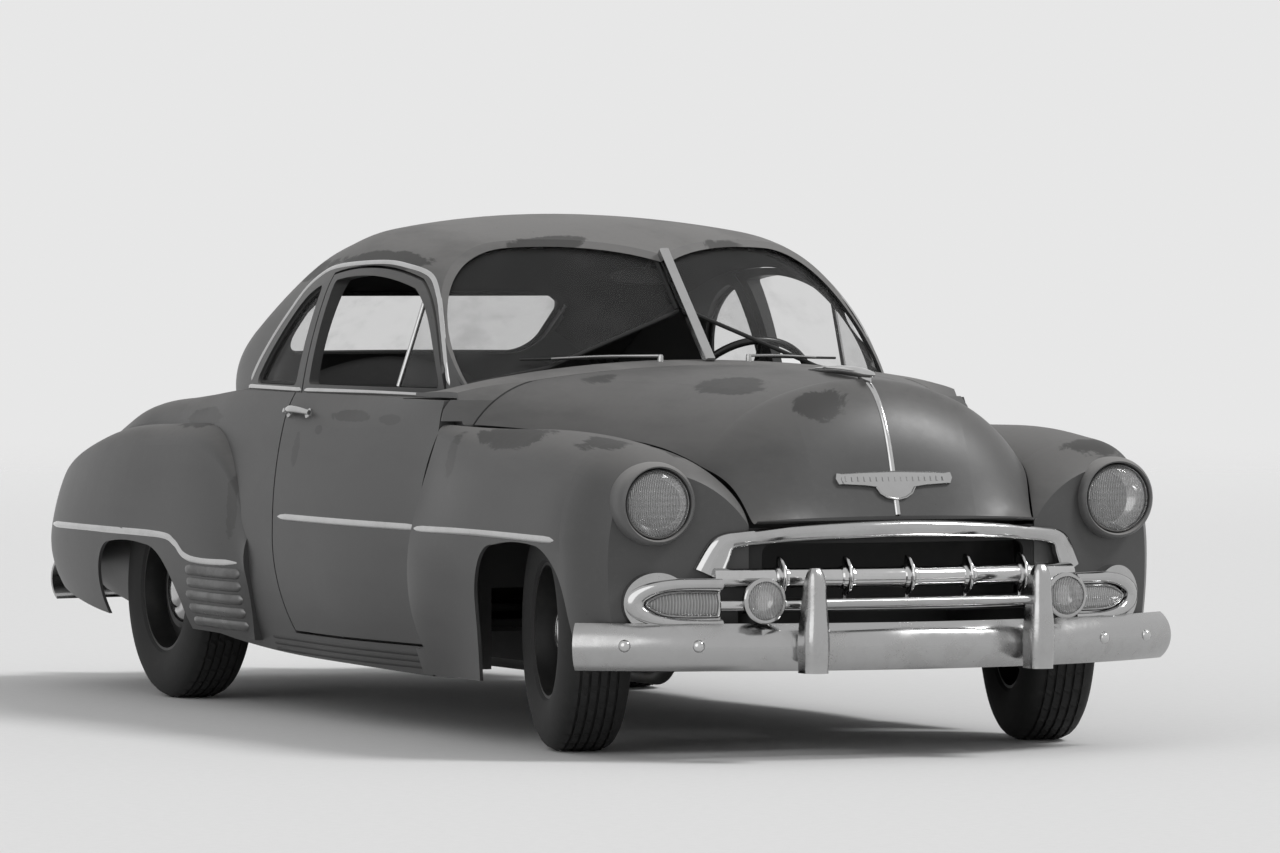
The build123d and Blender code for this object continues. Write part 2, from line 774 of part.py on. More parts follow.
# Knuckles: a kingpin upright with a spindle, a backing plate and a steering arm
arm_reach = 130
tie_rod_z = 262
tie_rod_radius = 11
upright_low = 255
upright_high = 410
arm_boss_height = 36
arm_thickness = 16


def make_knuckle(hub, side):
    """Knuckle of one front wheel, turned with it."""
    pin = Vector(front_axle_x, side * kingpin_y, 0)
    flat = Plane(origin=hub.origin, x_dir=hub.x_dir, z_dir=hub.z_dir)
    back = flat.offset(drum_back - running_gap * 3)
    turn = math.radians(steer_turn)
    with BuildPart() as knuckle:
        with BuildSketch(Plane.XY.offset(upright_low)):
            with Locations((pin.X, pin.Y)):
                Circle(24)
        extrude(amount=upright_high - upright_low)
        with BuildSketch(Plane.XY.offset(upright_low - 30)):
            with Locations((pin.X, pin.Y)):
                Circle(kingpin_radius)
        extrude(amount=upright_high - upright_low + 60)
        with BuildSketch(back):
            Circle(132)
        extrude(amount=-6)
        with BuildSketch(back):
            Circle(28)
        extrude(amount=-(front_half_track - kingpin_y + drum_back))
        with BuildSketch(Plane.XY.offset(tie_rod_z + tie_rod_radius + seat_gap)):
            with Locations(Location((pin.X, pin.Y), math.degrees(turn))):
                with Locations((-arm_reach / 2, 0)):
                    SlotOverall(arm_reach + 44, 44)
        extrude(amount=arm_thickness)
    return knuckle


finish(make_knuckle(corners["front_left"], 1), "knuckle_left")
finish(make_knuckle(corners["front_right"], -1), "knuckle_right")

# Tie rod: a tube with a flat-topped pad under each steering arm
pad_radius = 20
arm_end_x = front_axle_x - arm_reach * math.cos(math.radians(rest_steer))
arm_end_shift = arm_reach * math.sin(math.radians(rest_steer))
with BuildPart() as tie_rod:
    with BuildSketch(Plane(origin=(arm_end_x, arm_end_shift - kingpin_y, tie_rod_z), x_dir=(1, 0, 0), z_dir=(0, 1, 0))):
        Circle(tie_rod_radius)
    extrude(amount=2 * kingpin_y)
    for side in (1, -1):
        with BuildSketch(Plane.XY.offset(tie_rod_z - 14)):
            with Locations((arm_end_x, arm_end_shift + side * kingpin_y)):
                Circle(pad_radius)
        extrude(amount=14 + tie_rod_radius)
finish(tie_rod, "tie_rod")

# Front suspension: crossmember arms above and below each knuckle, with coil springs between
arm_inner_y = 330
lower_arm_z = upright_low - running_gap - arm_boss_height
upper_arm_z = upright_high + running_gap


def control_arm(side, z, height, spread):
    """One flat wishbone from its inner pivots to the boss round the kingpin."""
    with BuildPart() as arm:
        with BuildSketch(Plane.XY.offset(z)):
            with BuildLine():
                Polyline(
                    (front_axle_x - spread, side * arm_inner_y), (front_axle_x + spread, side * arm_inner_y),
                    (front_axle_x + 30, side * kingpin_y), (front_axle_x - 30, side * kingpin_y), close=True,
                )
            make_face()
            with Locations((front_axle_x, side * kingpin_y)):
                Circle(30)
            with Locations((front_axle_x, side * kingpin_y)):
                Circle(kingpin_radius + running_gap, mode=Mode.SUBTRACT)
            with Locations((front_axle_x, side * (arm_inner_y + 110))):
                Circle(46, mode=Mode.SUBTRACT)
        extrude(amount=height)
    return arm.part


crossmember_low = 300
crossmember_high = 390
with BuildPart() as front_suspension:
    for side in (1, -1):
        add(control_arm(side, lower_arm_z, arm_boss_height, 100))
        add(control_arm(side, upper_arm_z, arm_boss_height - 8, 90))
        for low, high in ((lower_arm_z, crossmember_low), (crossmember_high, upper_arm_z)):
            with BuildSketch(Plane.XY.offset(low)):
                with Locations((front_axle_x, side * arm_inner_y)):
                    Rectangle(110, 50)
            extrude(amount=high - low)
finish(front_suspension, "front_suspension")

# Frame: two side rails that kick up over the rear axle, with crossmembers between them
rail_front_x = 2330
rail_rear_x = -2290
rail_outline = [
    (rail_front_x, 300), (rail_front_x, 400), (1500, 400), (1250, 305), (-620, 305), (-900, 505), (-1560, 505),
    (-2000, 320), (rail_rear_x, 320), (rail_rear_x, 250), (-1980, 250), (-1540, 430), (-930, 430), (-640, 200), (1280, 200),
    (1520, 300),
]
crossmember_stations = [
    (2280, 300, 70, 60),
    (front_axle_x, crossmember_low, 120, crossmember_high - crossmember_low),
    (1560, 300, 70, 90),
    (700, 205, 120, 90),
    (-560, 205, 100, 90),
    (-1700, 375, 80, 55),
    (-2262, 255, 50, 50),
]
with BuildPart() as frame_rails:
    for side in (1, -1):
        with BuildSketch(beside(side, rail_inner_y, rail_inner_y + rail_width)):
            with BuildLine():
                Polyline(*rail_outline, close=True)
            make_face()
        extrude(amount=rail_width)
finish(frame_rails, "frame_rails")

with BuildPart() as crossmembers:
    for x, z, length, height in crossmember_stations:
        with BuildSketch(Plane.XY.offset(z)):
            with Locations((x, 0)):
                Rectangle(length, 2 * (rail_inner_y - seat_gap))
        extrude(amount=height)
finish(crossmembers, "crossmembers")


# Rear axle with its differential, and the leaf springs under it
axle_tube_radius = 38
shaft_radius = 32
gearbox_rear_x = 760
spring_inner_y = rail_inner_y + rail_width + 6
spring_width = 48
spring_low = 262
spring_thick = 30
axle_end_y = rear_half_track + drum_back - running_gap * 3
with BuildPart() as rear_axle:
    with BuildSketch(Plane(origin=(rear_axle_x, -axle_end_y, tyre_radius), x_dir=(1, 0, 0), z_dir=(0, 1, 0))):
        Circle(axle_tube_radius)
    extrude(amount=2 * axle_end_y)
    with BuildSketch(Plane(origin=(rear_axle_x, -75, tyre_radius), x_dir=(1, 0, 0), z_dir=(0, 1, 0))):
        Circle(118)
    extrude(amount=150)
    with BuildSketch(across(rear_axle_x)):
        with Locations((0, tyre_radius)):
            Circle(shaft_radius)
    extrude(amount=gearbox_rear_x - rear_axle_x)
    for side in (1, -1):
        with BuildSketch(Plane.XY.offset(spring_low + spring_thick)):
            with Locations((rear_axle_x, side * (spring_inner_y + spring_width / 2))):
                Rectangle(110, spring_width)
        extrude(amount=tyre_radius - spring_low - spring_thick)
finish(rear_axle, "rear_axle")

spring_reach = 570
with BuildPart() as leaf_springs:
    for side in (1, -1):
        with BuildSketch(beside(side, spring_inner_y, spring_inner_y + spring_width)):
            with BuildLine():
                low = ((rear_axle_x - spring_reach, 300), (rear_axle_x, spring_low), (rear_axle_x + spring_reach, 272))
                ThreePointArc(*low)
                Line(low[2], (low[2][0], low[2][1] + 14))
                ThreePointArc((low[2][0], low[2][1] + 14), (rear_axle_x, spring_low + spring_thick), (low[0][0], low[0][1] + 14))
                Line((low[0][0], low[0][1] + 14), low[0])
            make_face()
        extrude(amount=spring_width)
        with BuildSketch(beside(side, rail_inner_y + rail_width, spring_inner_y + spring_width)):
            with Locations((rear_axle_x + spring_reach, 275), (rear_axle_x - spring_reach, 310)):
                RectangleRounded(60, 60, 20)
        extrude(amount=spring_inner_y + spring_width - rail_inner_y - rail_width)
        with BuildSketch(beside(side, rail_inner_y + rail_width, rail_inner_y + rail_width + 12)):
            with Locations((rear_axle_x - spring_reach, 390)):
                Rectangle(46, 150)
        extrude(amount=12)
    add(rear_axle.part, mode=Mode.SUBTRACT)
finish(leaf_springs, "leaf_springs")

# Engine and gearbox as one plain block, radiator with its support, fuel tank and exhaust
engine_base_z = 405
with BuildPart() as engine:
    with BuildSketch(across(1240)):
        with Locations((0, engine_base_z + 200)):
            RectangleRounded(330, 400, 30)
    extrude(amount=700)
    with BuildSketch(across(1260)):
        with Locations((0, engine_base_z + 430)):
            RectangleRounded(180, 70, 25)
    extrude(amount=620)
    with BuildSketch(across(gearbox_rear_x)):
        with Locations((0, engine_base_z + 20)):
            RectangleRounded(220, 210, 50)
    extrude(amount=490)
    with BuildSketch(Plane.XY.offset(crossmember_high)):
        with Locations((front_axle_x, 0), (1560, 0)):
            Rectangle(60, 240)
    extrude(amount=engine_base_z - crossmember_high + 10)
finish(engine, "engine")

radiator_x = 2070
with BuildPart() as radiator:
    with BuildSketch(Plane.XY.offset(400)):
        with Locations((radiator_x, 0)):
            Rectangle(8, 2 * (rail_inner_y + rail_width))
    extrude(amount=330)
    with BuildSketch(Plane.XY.offset(410)):
        with Locations((radiator_x - 30, 0)):
            Rectangle(60, 560)
    extrude(amount=470)
finish(radiator, "radiator")

tank_top_z = 375
with BuildPart() as fuel_tank:
    with BuildSketch(Plane.XY.offset(tank_top_z - 120)):
        with Locations((-1955, 60)):
            RectangleRounded(560, 640, 60)
    extrude(amount=120)
finish(fuel_tank, "fuel_tank")

pipe_radius = 25
pipe_bore = 21
pipe_y = -230
pipe_z = 172
with BuildPart() as exhaust:
    with BuildLine() as route:
        FilletPolyline(
            (1480, -165, 560), (1400, -230, 330), (1210, pipe_y, pipe_z), (-1500, pipe_y, pipe_z), (-2140, pipe_y, 215),
            (-2440, pipe_y, 215), radius=[110, 110, 400, 400],
        )
    with BuildSketch(Plane(origin=route.line @ 0, z_dir=route.line % 0)):
        Circle(pipe_radius)
    sweep()
    with BuildSketch(across(-2440)):
        with Locations((pipe_y, 215)):
            Circle(pipe_bore)
    extrude(amount=260, mode=Mode.SUBTRACT)
    with BuildSketch(across(-120)):
        with Locations((pipe_y, pipe_z + 28)):
            Ellipse(105, 56)
    extrude(amount=620)
    with BuildSketch(Plane.XY.offset(pipe_z + 10)):
        with Locations((700, pipe_y), (-560, pipe_y)):
            Rectangle(24, 30)
    extrude(amount=205 - pipe_z - 10)
    add(engine.part, mode=Mode.SUBTRACT)
finish(exhaust, "exhaust")

# Floor: flat pan on the rails, step up to the rear floor, and wheel houses
floor_z = 305
rear_floor_z = 505
floor_sheet = 10
floor_half = 765
step_x = -560
shaft_tunnel_half = 70
shaft_tunnel_z = 405
with BuildPart() as floor_pan:
    with BuildSketch(Plane.XY.offset(floor_z)):
        with Locations(((step_x + firewall_x) / 2, 0)):
            Rectangle(firewall_x - step_x, 2 * floor_half)
        for side in (1, -1):
            with Locations((990, side * (pillar_inner_y - seat_gap + 100))):
                Rectangle(200 + 2 * seat_gap, 200, mode=Mode.SUBTRACT)
    extrude(amount=floor_sheet)
    with BuildSketch(Plane.XY.offset(floor_z)):
        with Locations((step_x, 0)):
            Rectangle(12, 2 * floor_half)
    extrude(amount=rear_floor_z - floor_z + floor_sheet)
    with BuildSketch(Plane.XY.offset(rear_floor_z)):
        with Locations(((step_x - 2260) / 2, 0)):
            Rectangle(step_x + 2260, 2 * 565)
    extrude(amount=floor_sheet)
    for half, high, start, end in (
        (tunnel_half, tunnel_top_z - 8, gearbox_rear_x - 120, firewall_x - seat_gap),
        (shaft_tunnel_half, shaft_tunnel_z, step_x, gearbox_rear_x - 120 + floor_sheet),
    ):
        with BuildSketch(Plane.XY.offset(floor_z)):
            with Locations(((start + end) / 2, 0)):
                Rectangle(end - start, 2 * half)
        extrude(amount=high - floor_z)
    for half, high, start, end in (
        (tunnel_half - 10, tunnel_top_z - 18, gearbox_rear_x - 110, cowl_x),
        (shaft_tunnel_half - 10, shaft_tunnel_z - 10, step_x - 50, gearbox_rear_x - 100),
    ):
        with BuildSketch(Plane.XY.offset(floor_z - 1)):
            with Locations(((start + end) / 2, 0)):
                Rectangle(end - start, 2 * half)
        extrude(amount=high - floor_z + 1, mode=Mode.SUBTRACT)
    for side in (1, -1):
        with BuildSketch(beside(side, house_inner_y, 730)):
            with Locations((rear_axle_x, tyre_radius)):
                Circle(house_radius)
        extrude(amount=730 - house_inner_y)
    for side in (1, -1):
        with BuildSketch(beside(side, house_inner_y + 8, 990)):
            with Locations((rear_axle_x, tyre_radius)):
                Circle(house_radius - 8)
        extrude(amount=990 - house_inner_y - 8, mode=Mode.SUBTRACT)
        with BuildSketch(beside(side, house_inner_y - 40, 990)):
            with Locations((rear_axle_x, rear_floor_z - 500)):
                Rectangle(1200, 1000)
        extrude(amount=990 - house_inner_y + 40, mode=Mode.SUBTRACT)
    for side in (1, -1):
        with BuildSketch(Plane.XY.offset(rear_floor_z)):
            with Locations((rear_axle_x, side * (565 + house_inner_y) / 2)):
                Rectangle(640, house_inner_y - 565 + 8)
        extrude(amount=floor_sheet)
finish(floor_pan, "floor_pan")

# Glass: quarter windows and rear window follow the roof skin; the vent panes ride on the doors
glass_depth = 15
with BuildPart() as glass_skin:
    loft([roof_section(s, glass_depth, roof_base_z) for s in table(ROOF_COLUMNS, ROOF_SECTIONS)])
    loft([roof_section(s, glass_depth + glass_wall, roof_base_z - 60) for s in table(ROOF_COLUMNS, ROOF_SECTIONS)], mode=Mode.SUBTRACT)

with BuildPart() as quarter_glass:
    add(glass_skin.part)
    with BuildPart(mode=Mode.PRIVATE) as zones:
        for side in (1, -1):
            with BuildSketch(beside(side, frame_inner_y, outboard_y)):
                add(quarter_window_outline())
                offset(amount=-seat_gap, kind=Kind.INTERSECTION)
            extrude(amount=outboard_y - frame_inner_y)
    add(zones.part, mode=Mode.INTERSECT)
finish(quarter_glass, "quarter_glass")

with BuildPart() as rear_window:
    add(glass_skin.part)
    add(rear_window_zone(seat_gap), mode=Mode.INTERSECT)
finish(rear_window, "rear_window")


def make_vent():
    """Left vent pane with its divider bar, in the front of the door's window opening."""
    with BuildPart(mode=Mode.PRIVATE) as zone:
        with BuildSketch(beside(1, frame_inner_y, outboard_y)):
            add(door_window_outline())
            offset(amount=-seat_gap, kind=Kind.INTERSECTION)
            with BuildLine():
                Polyline((vent_divider_x[0], 900), (vent_divider_x[1], 1400), (1200, 1400), (1200, 900), close=True)
            make_face(mode=Mode.INTERSECT)
        extrude(amount=outboard_y - frame_inner_y)
    with BuildPart() as vent:
        add(glass_skin.part)
        add(zone.part, mode=Mode.INTERSECT)
    return vent


save_pair(make_vent, "vent_window")

pane_depth = 10
with BuildPart() as windshield:
    for side in (1, -1):
        add(pane_room(side, pane_depth, pane_depth + glass_wall, rim_wall + seat_gap, 16))
    add(cowl_outer.part, mode=Mode.SUBTRACT)
    add(cab_upper.part, mode=Mode.SUBTRACT)
finish(windshield, "windshield")

post_line = post_head - post_foot
with BuildPart() as post_bar:
    with BuildSketch(Plane(origin=post_foot - post_line * 0.03, x_dir=(0, 1, 0), z_dir=post_line)):
        with Locations((0, -6)):
            RectangleRounded(30, 30, 6)
    extrude(amount=post_line.length * 1.02)
    add(shell.part, mode=Mode.SUBTRACT)
with BuildPart() as centre_post:
    add(max(post_bar.solids(), key=lambda v: v.volume))
finish(centre_post, "centre_post")


# Front panel and grille: bands curved in plan about one upright axis
grille_radius = 1640
grille_axis_x = 2324 - grille_radius
nose_seam_y = 437


def plan_band(outer_r, depth, low, high, half_width, axis_x=None):
    """Band curved in plan, from height low to high, trimmed to a half width."""
    centre = grille_axis_x if axis_x is None else axis_x
    with BuildPart() as band:
        with BuildSketch(Plane.XY.offset(low)):
            with Locations((centre, 0)):
                Circle(outer_r)
                Circle(outer_r - depth, mode=Mode.SUBTRACT)
            with Locations((centre + outer_r, 0)):
                Rectangle(1400, 2 * half_width, mode=Mode.INTERSECT)
        extrude(amount=high - low)
    return band.part


def round_bar(radius, z, thick, half_width, axis_x):
    """Round bar curved in plan about an upright axis."""
    half_angle = math.degrees(math.asin(half_width / radius))
    start = math.radians(-half_angle)
    flat = Plane(origin=(axis_x, 0, 0), x_dir=(math.cos(start), math.sin(start), 0), z_dir=(math.sin(start), -math.cos(start), 0))
    with BuildPart() as bar:
        with BuildSketch(flat):
            with Locations((radius, z)):
                Circle(thick)
        revolve(axis=Axis((axis_x, 0, 0), (0, 0, 1)), revolution_arc=2 * half_angle)
    return bar.part


grille_low_z = 442
grille_high_z = 592
with BuildPart() as grille_panel:
    add(plan_band(grille_radius - 22, 16, 402, 634, nose_seam_y - seat_gap))
    with BuildSketch(across(2000)):
        with Locations((0, (grille_low_z + grille_high_z) / 2)):
            RectangleRounded(2 * 400, grille_high_z - grille_low_z, 30)
    extrude(amount=500, mode=Mode.SUBTRACT)
    for side in (1, -1):
        with BuildSketch(Plane.XY.offset(400)):
            with Locations((2225, side * (rail_inner_y + 30))):
                Rectangle(40, 12)
        extrude(amount=200)
finish(grille_panel, "grille_panel")

# Grille: arched upper bar with its turned-down ends, a bar with five teeth, and a lower bar
bar_half = 541
arch_radius = 1900
arch_axis_x = grille_axis_x + grille_radius - arch_radius
tooth_pitch = 184
tooth_bar_radius = 1600
tooth_bar_x = 2368 - tooth_bar_radius
tooth_bar_z = 498
tooth_bar_thick = 27
with BuildPart() as grille_bars:
    with BuildSketch(across(2130)):
        with BuildLine():
            ThreePointArc((-bar_half, 616), (0, 652), (bar_half, 616))
            ThreePointArc((-486, 584), (0, 608), (486, 584))
            for side in (1, -1):
                Polyline(
                    (side * bar_half, 616), (side * (bar_half + 10), 608), (side * 597, 514), (side * 589, 503),
                    (side * 526, 500), (side * 519, 508), (side * 486, 584),
                )
        make_face()
    extrude(amount=220)
    with BuildSketch(Plane.XY.offset(490)):
        with Locations((arch_axis_x, 0)):
            Circle(arch_radius)
            Circle(arch_radius - 30, mode=Mode.SUBTRACT)
    extrude(amount=170, mode=Mode.INTERSECT)
    add(round_bar(tooth_bar_radius - tooth_bar_thick, tooth_bar_z, tooth_bar_thick, bar_half, tooth_bar_x))
    add(plan_band(tooth_bar_radius, 40, 409, 441, 540, tooth_bar_x + 20))
    for n in range(-2, 3):
        y = n * tooth_pitch
        x = tooth_bar_x + math.sqrt(tooth_bar_radius**2 - y**2)
        for z, shift, depth, half in ((452, 12, 14, 9), (504, 2, 34, 16), (556, 18, 12, 7)):
            with BuildSketch(Plane.XY.offset(z)):
                with Locations((x - shift, y)):
                    Ellipse(depth, half)
        loft()
        with BuildSketch(Plane.XY.offset(430)):
            with Locations((x - 20, y)):
                Rectangle(12, 12)
        extrude(amount=tooth_bar_z - 430)
    for side in (1, -1):
        for z, length in ((425, 60), (tooth_bar_z, 50)):
            with BuildSketch(across(2240)):
                with Locations((side * 410, z)):
                    Rectangle(14, 14)
            extrude(amount=length)
    add(grille_panel.part, mode=Mode.SUBTRACT)
    add(fender_left.part, mode=Mode.SUBTRACT)
    add(fender_right.part, mode=Mode.SUBTRACT)
finish(grille_bars, "grille_bars")


def save_both(make, name):
    """Write the left piece and its mirror image as one node."""
    left = make()
    with BuildPart() as both:
        add(left.part)
        mirror(about=Plane.XZ)
    finish(both, name)


lamp_face_radius = 1704
lamp_recess = 12


def lamp_profile(inner_y, outer_y, low, high, tip_y):
    """Front view of a parking lamp: straight at its inner end and round at its outer end."""
    with BuildSketch(across(2100)) as profile:
        with BuildLine():
            Line((inner_y, high), (outer_y, high))
            ThreePointArc((outer_y, high), (tip_y, (low + high) / 2), (outer_y, low))
            Line((outer_y, low), (inner_y, low))
            Line((inner_y, low), (inner_y, high))
        make_face()
    return profile.sketch


def curved_plug(profile, radius):
    """Solid from a front-view profile back from a face curved in plan about the grille's axis."""
    with BuildPart() as plug:
        with BuildSketch(Plane.XY.offset(340)):
            with Locations((grille_axis_x, 0)):
                Circle(radius)
        extrude(amount=180)
        extrude(profile, amount=300, mode=Mode.INTERSECT)
    return plug.part


def make_parking_lamp():
    """Left parking lamp: a rounded housing that joins the grille bars, with a recess for its lens."""
    with BuildPart() as lamp:
        add(curved_plug(lamp_profile(541, 655, 364, 500, 788), lamp_face_radius))
        with BuildPart(mode=Mode.PRIVATE) as recess:
            add(curved_plug(lamp_profile(535, 650, 388, 470, 742), lamp_face_radius + 60))
            with BuildSketch(Plane.XY.offset(340)):
                with Locations((grille_axis_x, 0)):
                    Circle(lamp_face_radius - lamp_recess)
            extrude(amount=180, mode=Mode.SUBTRACT)
        add(recess.part, mode=Mode.SUBTRACT)
        add(fender_left.part, mode=Mode.SUBTRACT)
        add(grille_bars.part, mode=Mode.SUBTRACT)
    with BuildPart() as front:
        add(max(lamp.solids(), key=lambda v: v.bounding_box().max.X))
    return front


save_both(make_parking_lamp, "parking_lamps")

lamp_x = 2245
lamp_y = 704
lamp_z = 703
bezel_radius = 115
lens_radius = 89


def make_headlamp():
    """Left headlamp: painted bezel, a recessed ring and a domed lens."""
    axis_plane = Plane(origin=(0, lamp_y, lamp_z), x_dir=(1, 0, 0), z_dir=(0, -1, 0))
    with BuildPart() as lamp:
        with BuildSketch(axis_plane):
            with BuildLine():
                Polyline(
                    (lamp_x - 115, 0), (lamp_x - 115, bezel_radius - 8), (lamp_x - 30, bezel_radius),
                    (lamp_x - 12, bezel_radius - 3), (lamp_x - 2, bezel_radius - 14), (lamp_x - 10, lens_radius + 6),
                    (lamp_x - 24, lens_radius + 4), (lamp_x - 24, lens_radius), (lamp_x - 16, lens_radius),
                )
                TangentArc((lamp_x + 8, 0), (lamp_x - 16, lens_radius), tangent=(0, 1))
                Line((lamp_x + 8, 0), (lamp_x - 115, 0))
            make_face()
        revolve(axis=Axis((0, lamp_y, lamp_z), (1, 0, 0)))
        add(fender_left.part, mode=Mode.SUBTRACT)
    with BuildPart() as front:
        add(max(lamp.solids(), key=lambda v: v.bounding_box().max.X))
    return front


save_both(make_headlamp, "headlamps")

# Bumpers: bowed bars curved in plan, with guards and brackets to the frame rails
bumper_height = 130
bumper_bow = 34
bumper_sheet = 8


def bowed_bar(face_x, facing, radius, half_width, low):
    """Bumper bar: a channel with a bowed face, turned about an upright axis."""
    half_angle = math.degrees(math.asin(half_width / radius))
    start = math.radians((0 if facing > 0 else 180) - half_angle)
    centre = (face_x - facing * radius, 0, 0)
    high = low + bumper_height
    lip = radius - bumper_bow
    flat = Plane(origin=centre, x_dir=(math.cos(start), math.sin(start), 0), z_dir=(math.sin(start), -math.cos(start), 0))
    with BuildPart() as bar:
        with BuildSketch(flat):
            with BuildLine():
                ThreePointArc((lip, low), (radius, (low + high) / 2), (lip, high))
                Line((lip, high), (lip, high - bumper_sheet))
                ThreePointArc(
                    (lip, high - bumper_sheet), (radius - bumper_sheet, (low + high) / 2), (lip, low + bumper_sheet),
                )
                Line((lip, low + bumper_sheet), (lip, low))
            make_face()
        revolve(axis=Axis(centre, (0, 0, 1)), revolution_arc=2 * half_angle)
    return bar.part


guard_y = 342
guard_bulge = 0.84
guard_tip = car_length / 2 - guard_bulge
GUARD_COLUMNS = "z front back half"
GUARD_SECTIONS = [
    (246, 4, 100, 34),
    (300, 0, 100, 37),
    (380, 2, 94, 35),
    (460, 8, 82, 29),
    (512, 16, 66, 23),
    (532, 28, 52, 12),
]


def guard(facing, y):
    """Upright bumper guard with a waist, rounded at the top."""
    with BuildPart() as post:
        for s in table(GUARD_COLUMNS, GUARD_SECTIONS):
            depth = s["back"] - s["front"]
            with BuildSketch(Plane.XY.offset(s["z"])):
                with Locations((facing * (guard_tip - (s["front"] + s["back"]) / 2), y)):
                    RectangleRounded(depth, 2 * s["half"], min(depth, 2 * s["half"]) / 2 - 4)
        loft()
    return post.part


front_bumper_x = 2450
front_bumper_z = 248
with BuildPart() as front_bumper:
    add(bowed_bar(front_bumper_x, 1, 1544, 920, front_bumper_z))
    for side in (1, -1):
        add(guard(1, side * guard_y))
        with BuildSketch(Plane.XY.offset(front_bumper_z + 70)):
            with Locations((rail_front_x + 22, side * (rail_inner_y + rail_width / 2))):
                Rectangle(44, 50)
        extrude(amount=44)
    with BuildSketch(Plane(origin=(2468, -guard_y, 436), x_dir=(1, 0, 0), z_dir=(0, 1, 0))):
        Circle(12)
    extrude(amount=2 * guard_y)
finish(front_bumper, "front_bumper")

rear_bumper_x = -2450
rear_bumper_z = 260
with BuildPart() as rear_bumper:
    add(bowed_bar(rear_bumper_x, -1, 3280, 790, rear_bumper_z))
    for side in (1, -1):
        add(guard(-1, side * guard_y))
        with BuildSketch(Plane.XY.offset(rear_bumper_z + 10)):
            with Locations(((rail_rear_x + rear_bumper_x + 44) / 2, side * (rail_inner_y + rail_width / 2))):
                Rectangle(rail_rear_x - rear_bumper_x - 44, 50)
        extrude(amount=34)
finish(rear_bumper, "rear_bumper")

# Fog lamps stand on the bumper's brackets
fog_x = 2405
fog_y = 459
fog_z = 442
fog_radius = 63
with BuildPart() as fog_lamps:
    for side in (1, -1):
        with BuildSketch(Plane(origin=(0, side * fog_y, fog_z), x_dir=(1, 0, 0), z_dir=(0, -1, 0))):
            with BuildLine():
                TangentArc((fog_x - 78, 0), (fog_x - 18, fog_radius - 4), tangent=(0, 1))
                Line((fog_x - 18, fog_radius - 4), (fog_x - 14, fog_radius))
                Line((fog_x - 14, fog_radius), (fog_x - 2, fog_radius))
                Line((fog_x - 2, fog_radius), (fog_x - 2, 52))
                TangentArc((fog_x + 9, 0), (fog_x - 2, 52), tangent=(0, 1))
                Line((fog_x + 9, 0), (fog_x - 78, 0))
            make_face()
        revolve(axis=Axis((0, side * fog_y, fog_z), (1, 0, 0)))
        with BuildSketch(Plane.XY.offset(front_bumper_z + 114)):
            with Locations((rail_front_x + 11, side * (rail_inner_y + rail_width - 17))):
                Rectangle(20, 30)
        extrude(amount=fog_z - front_bumper_z - 130)
    add(front_bumper.part, mode=Mode.SUBTRACT)
finish(fog_lamps, "fog_lamps")

tail_lamp_y = 682
tail_lamp_z = 478
fender_tail_x = REAR_FENDER_SECTIONS[-1][0]


def make_tail_lamp():
    """Left tail lamp: a round domed lens on the rear wall of the fender."""
    with BuildPart() as lamp:
        with BuildSketch(Plane(origin=(0, tail_lamp_y, tail_lamp_z), x_dir=(1, 0, 0), z_dir=(0, -1, 0))):
            with BuildLine():
                Polyline(
                    (fender_tail_x, 0), (fender_tail_x, 40), (fender_tail_x - 10, 42), (fender_tail_x - 14, 37),
                )
                Polyline((fender_tail_x - 14, 37), (fender_tail_x - 23, 24), (fender_tail_x - 28, 0))
                Line((fender_tail_x - 28, 0), (fender_tail_x, 0))
            make_face()
        revolve(axis=Axis((0, tail_lamp_y, tail_lamp_z), (1, 0, 0)))
    return lamp


save_both(make_tail_lamp, "tail_lamps")


# Cabin: seats, dashboard, steering column and wheel
def side_profile(points, half_width, radius):
    """Solid with a rounded side-view profile across both sides of the cabin."""
    with BuildPart() as solid:
        with BuildSketch(Plane.XZ.offset(-half_width)) as profile:
            with BuildLine():
                Polyline(*points, close=True)
            make_face()
            fillet(profile.vertices(), radius=radius)
        extrude(amount=2 * half_width)
    return solid.part


seat_base_z = floor_z + floor_sheet
rear_seat_base_z = rear_floor_z + floor_sheet
front_seat_points = [
    (40, seat_base_z), (600, seat_base_z), (625, 480), (600, 530), (150, 500), (0, 900), (-110, 905), (-60, 500),
]
rear_seat_points = [
    (-850, rear_seat_base_z), (-430, rear_seat_base_z), (-420, 640), (-470, 690), (-790, 670), (-930, 930),
    (-1010, 930), (-900, 640),
]
with BuildPart() as front_seat:
    add(side_profile(front_seat_points, 640, 20))
    with BuildSketch(Plane.XY.offset(floor_z)):
        with Locations((300, 0)):
            Rectangle(900, 2 * (shaft_tunnel_half + 4))
    extrude(amount=shaft_tunnel_z - floor_z + 4, mode=Mode.SUBTRACT)
finish(front_seat, "front_seat")

with BuildPart() as rear_seat:
    add(side_profile(rear_seat_points, 540, 20))
finish(rear_seat, "rear_seat")

dash_x = ROOF_SECTIONS[-1][0] - seat_gap
dash_points = [
    (dash_x - 90, 1000), (dash_x, 1000), (dash_x, 820), (dash_x - 40, 800), (dash_x - 110, 900),
]
with BuildPart() as dashboard:
    add(side_profile(dash_points, 615, 10))
finish(dashboard, "dashboard")

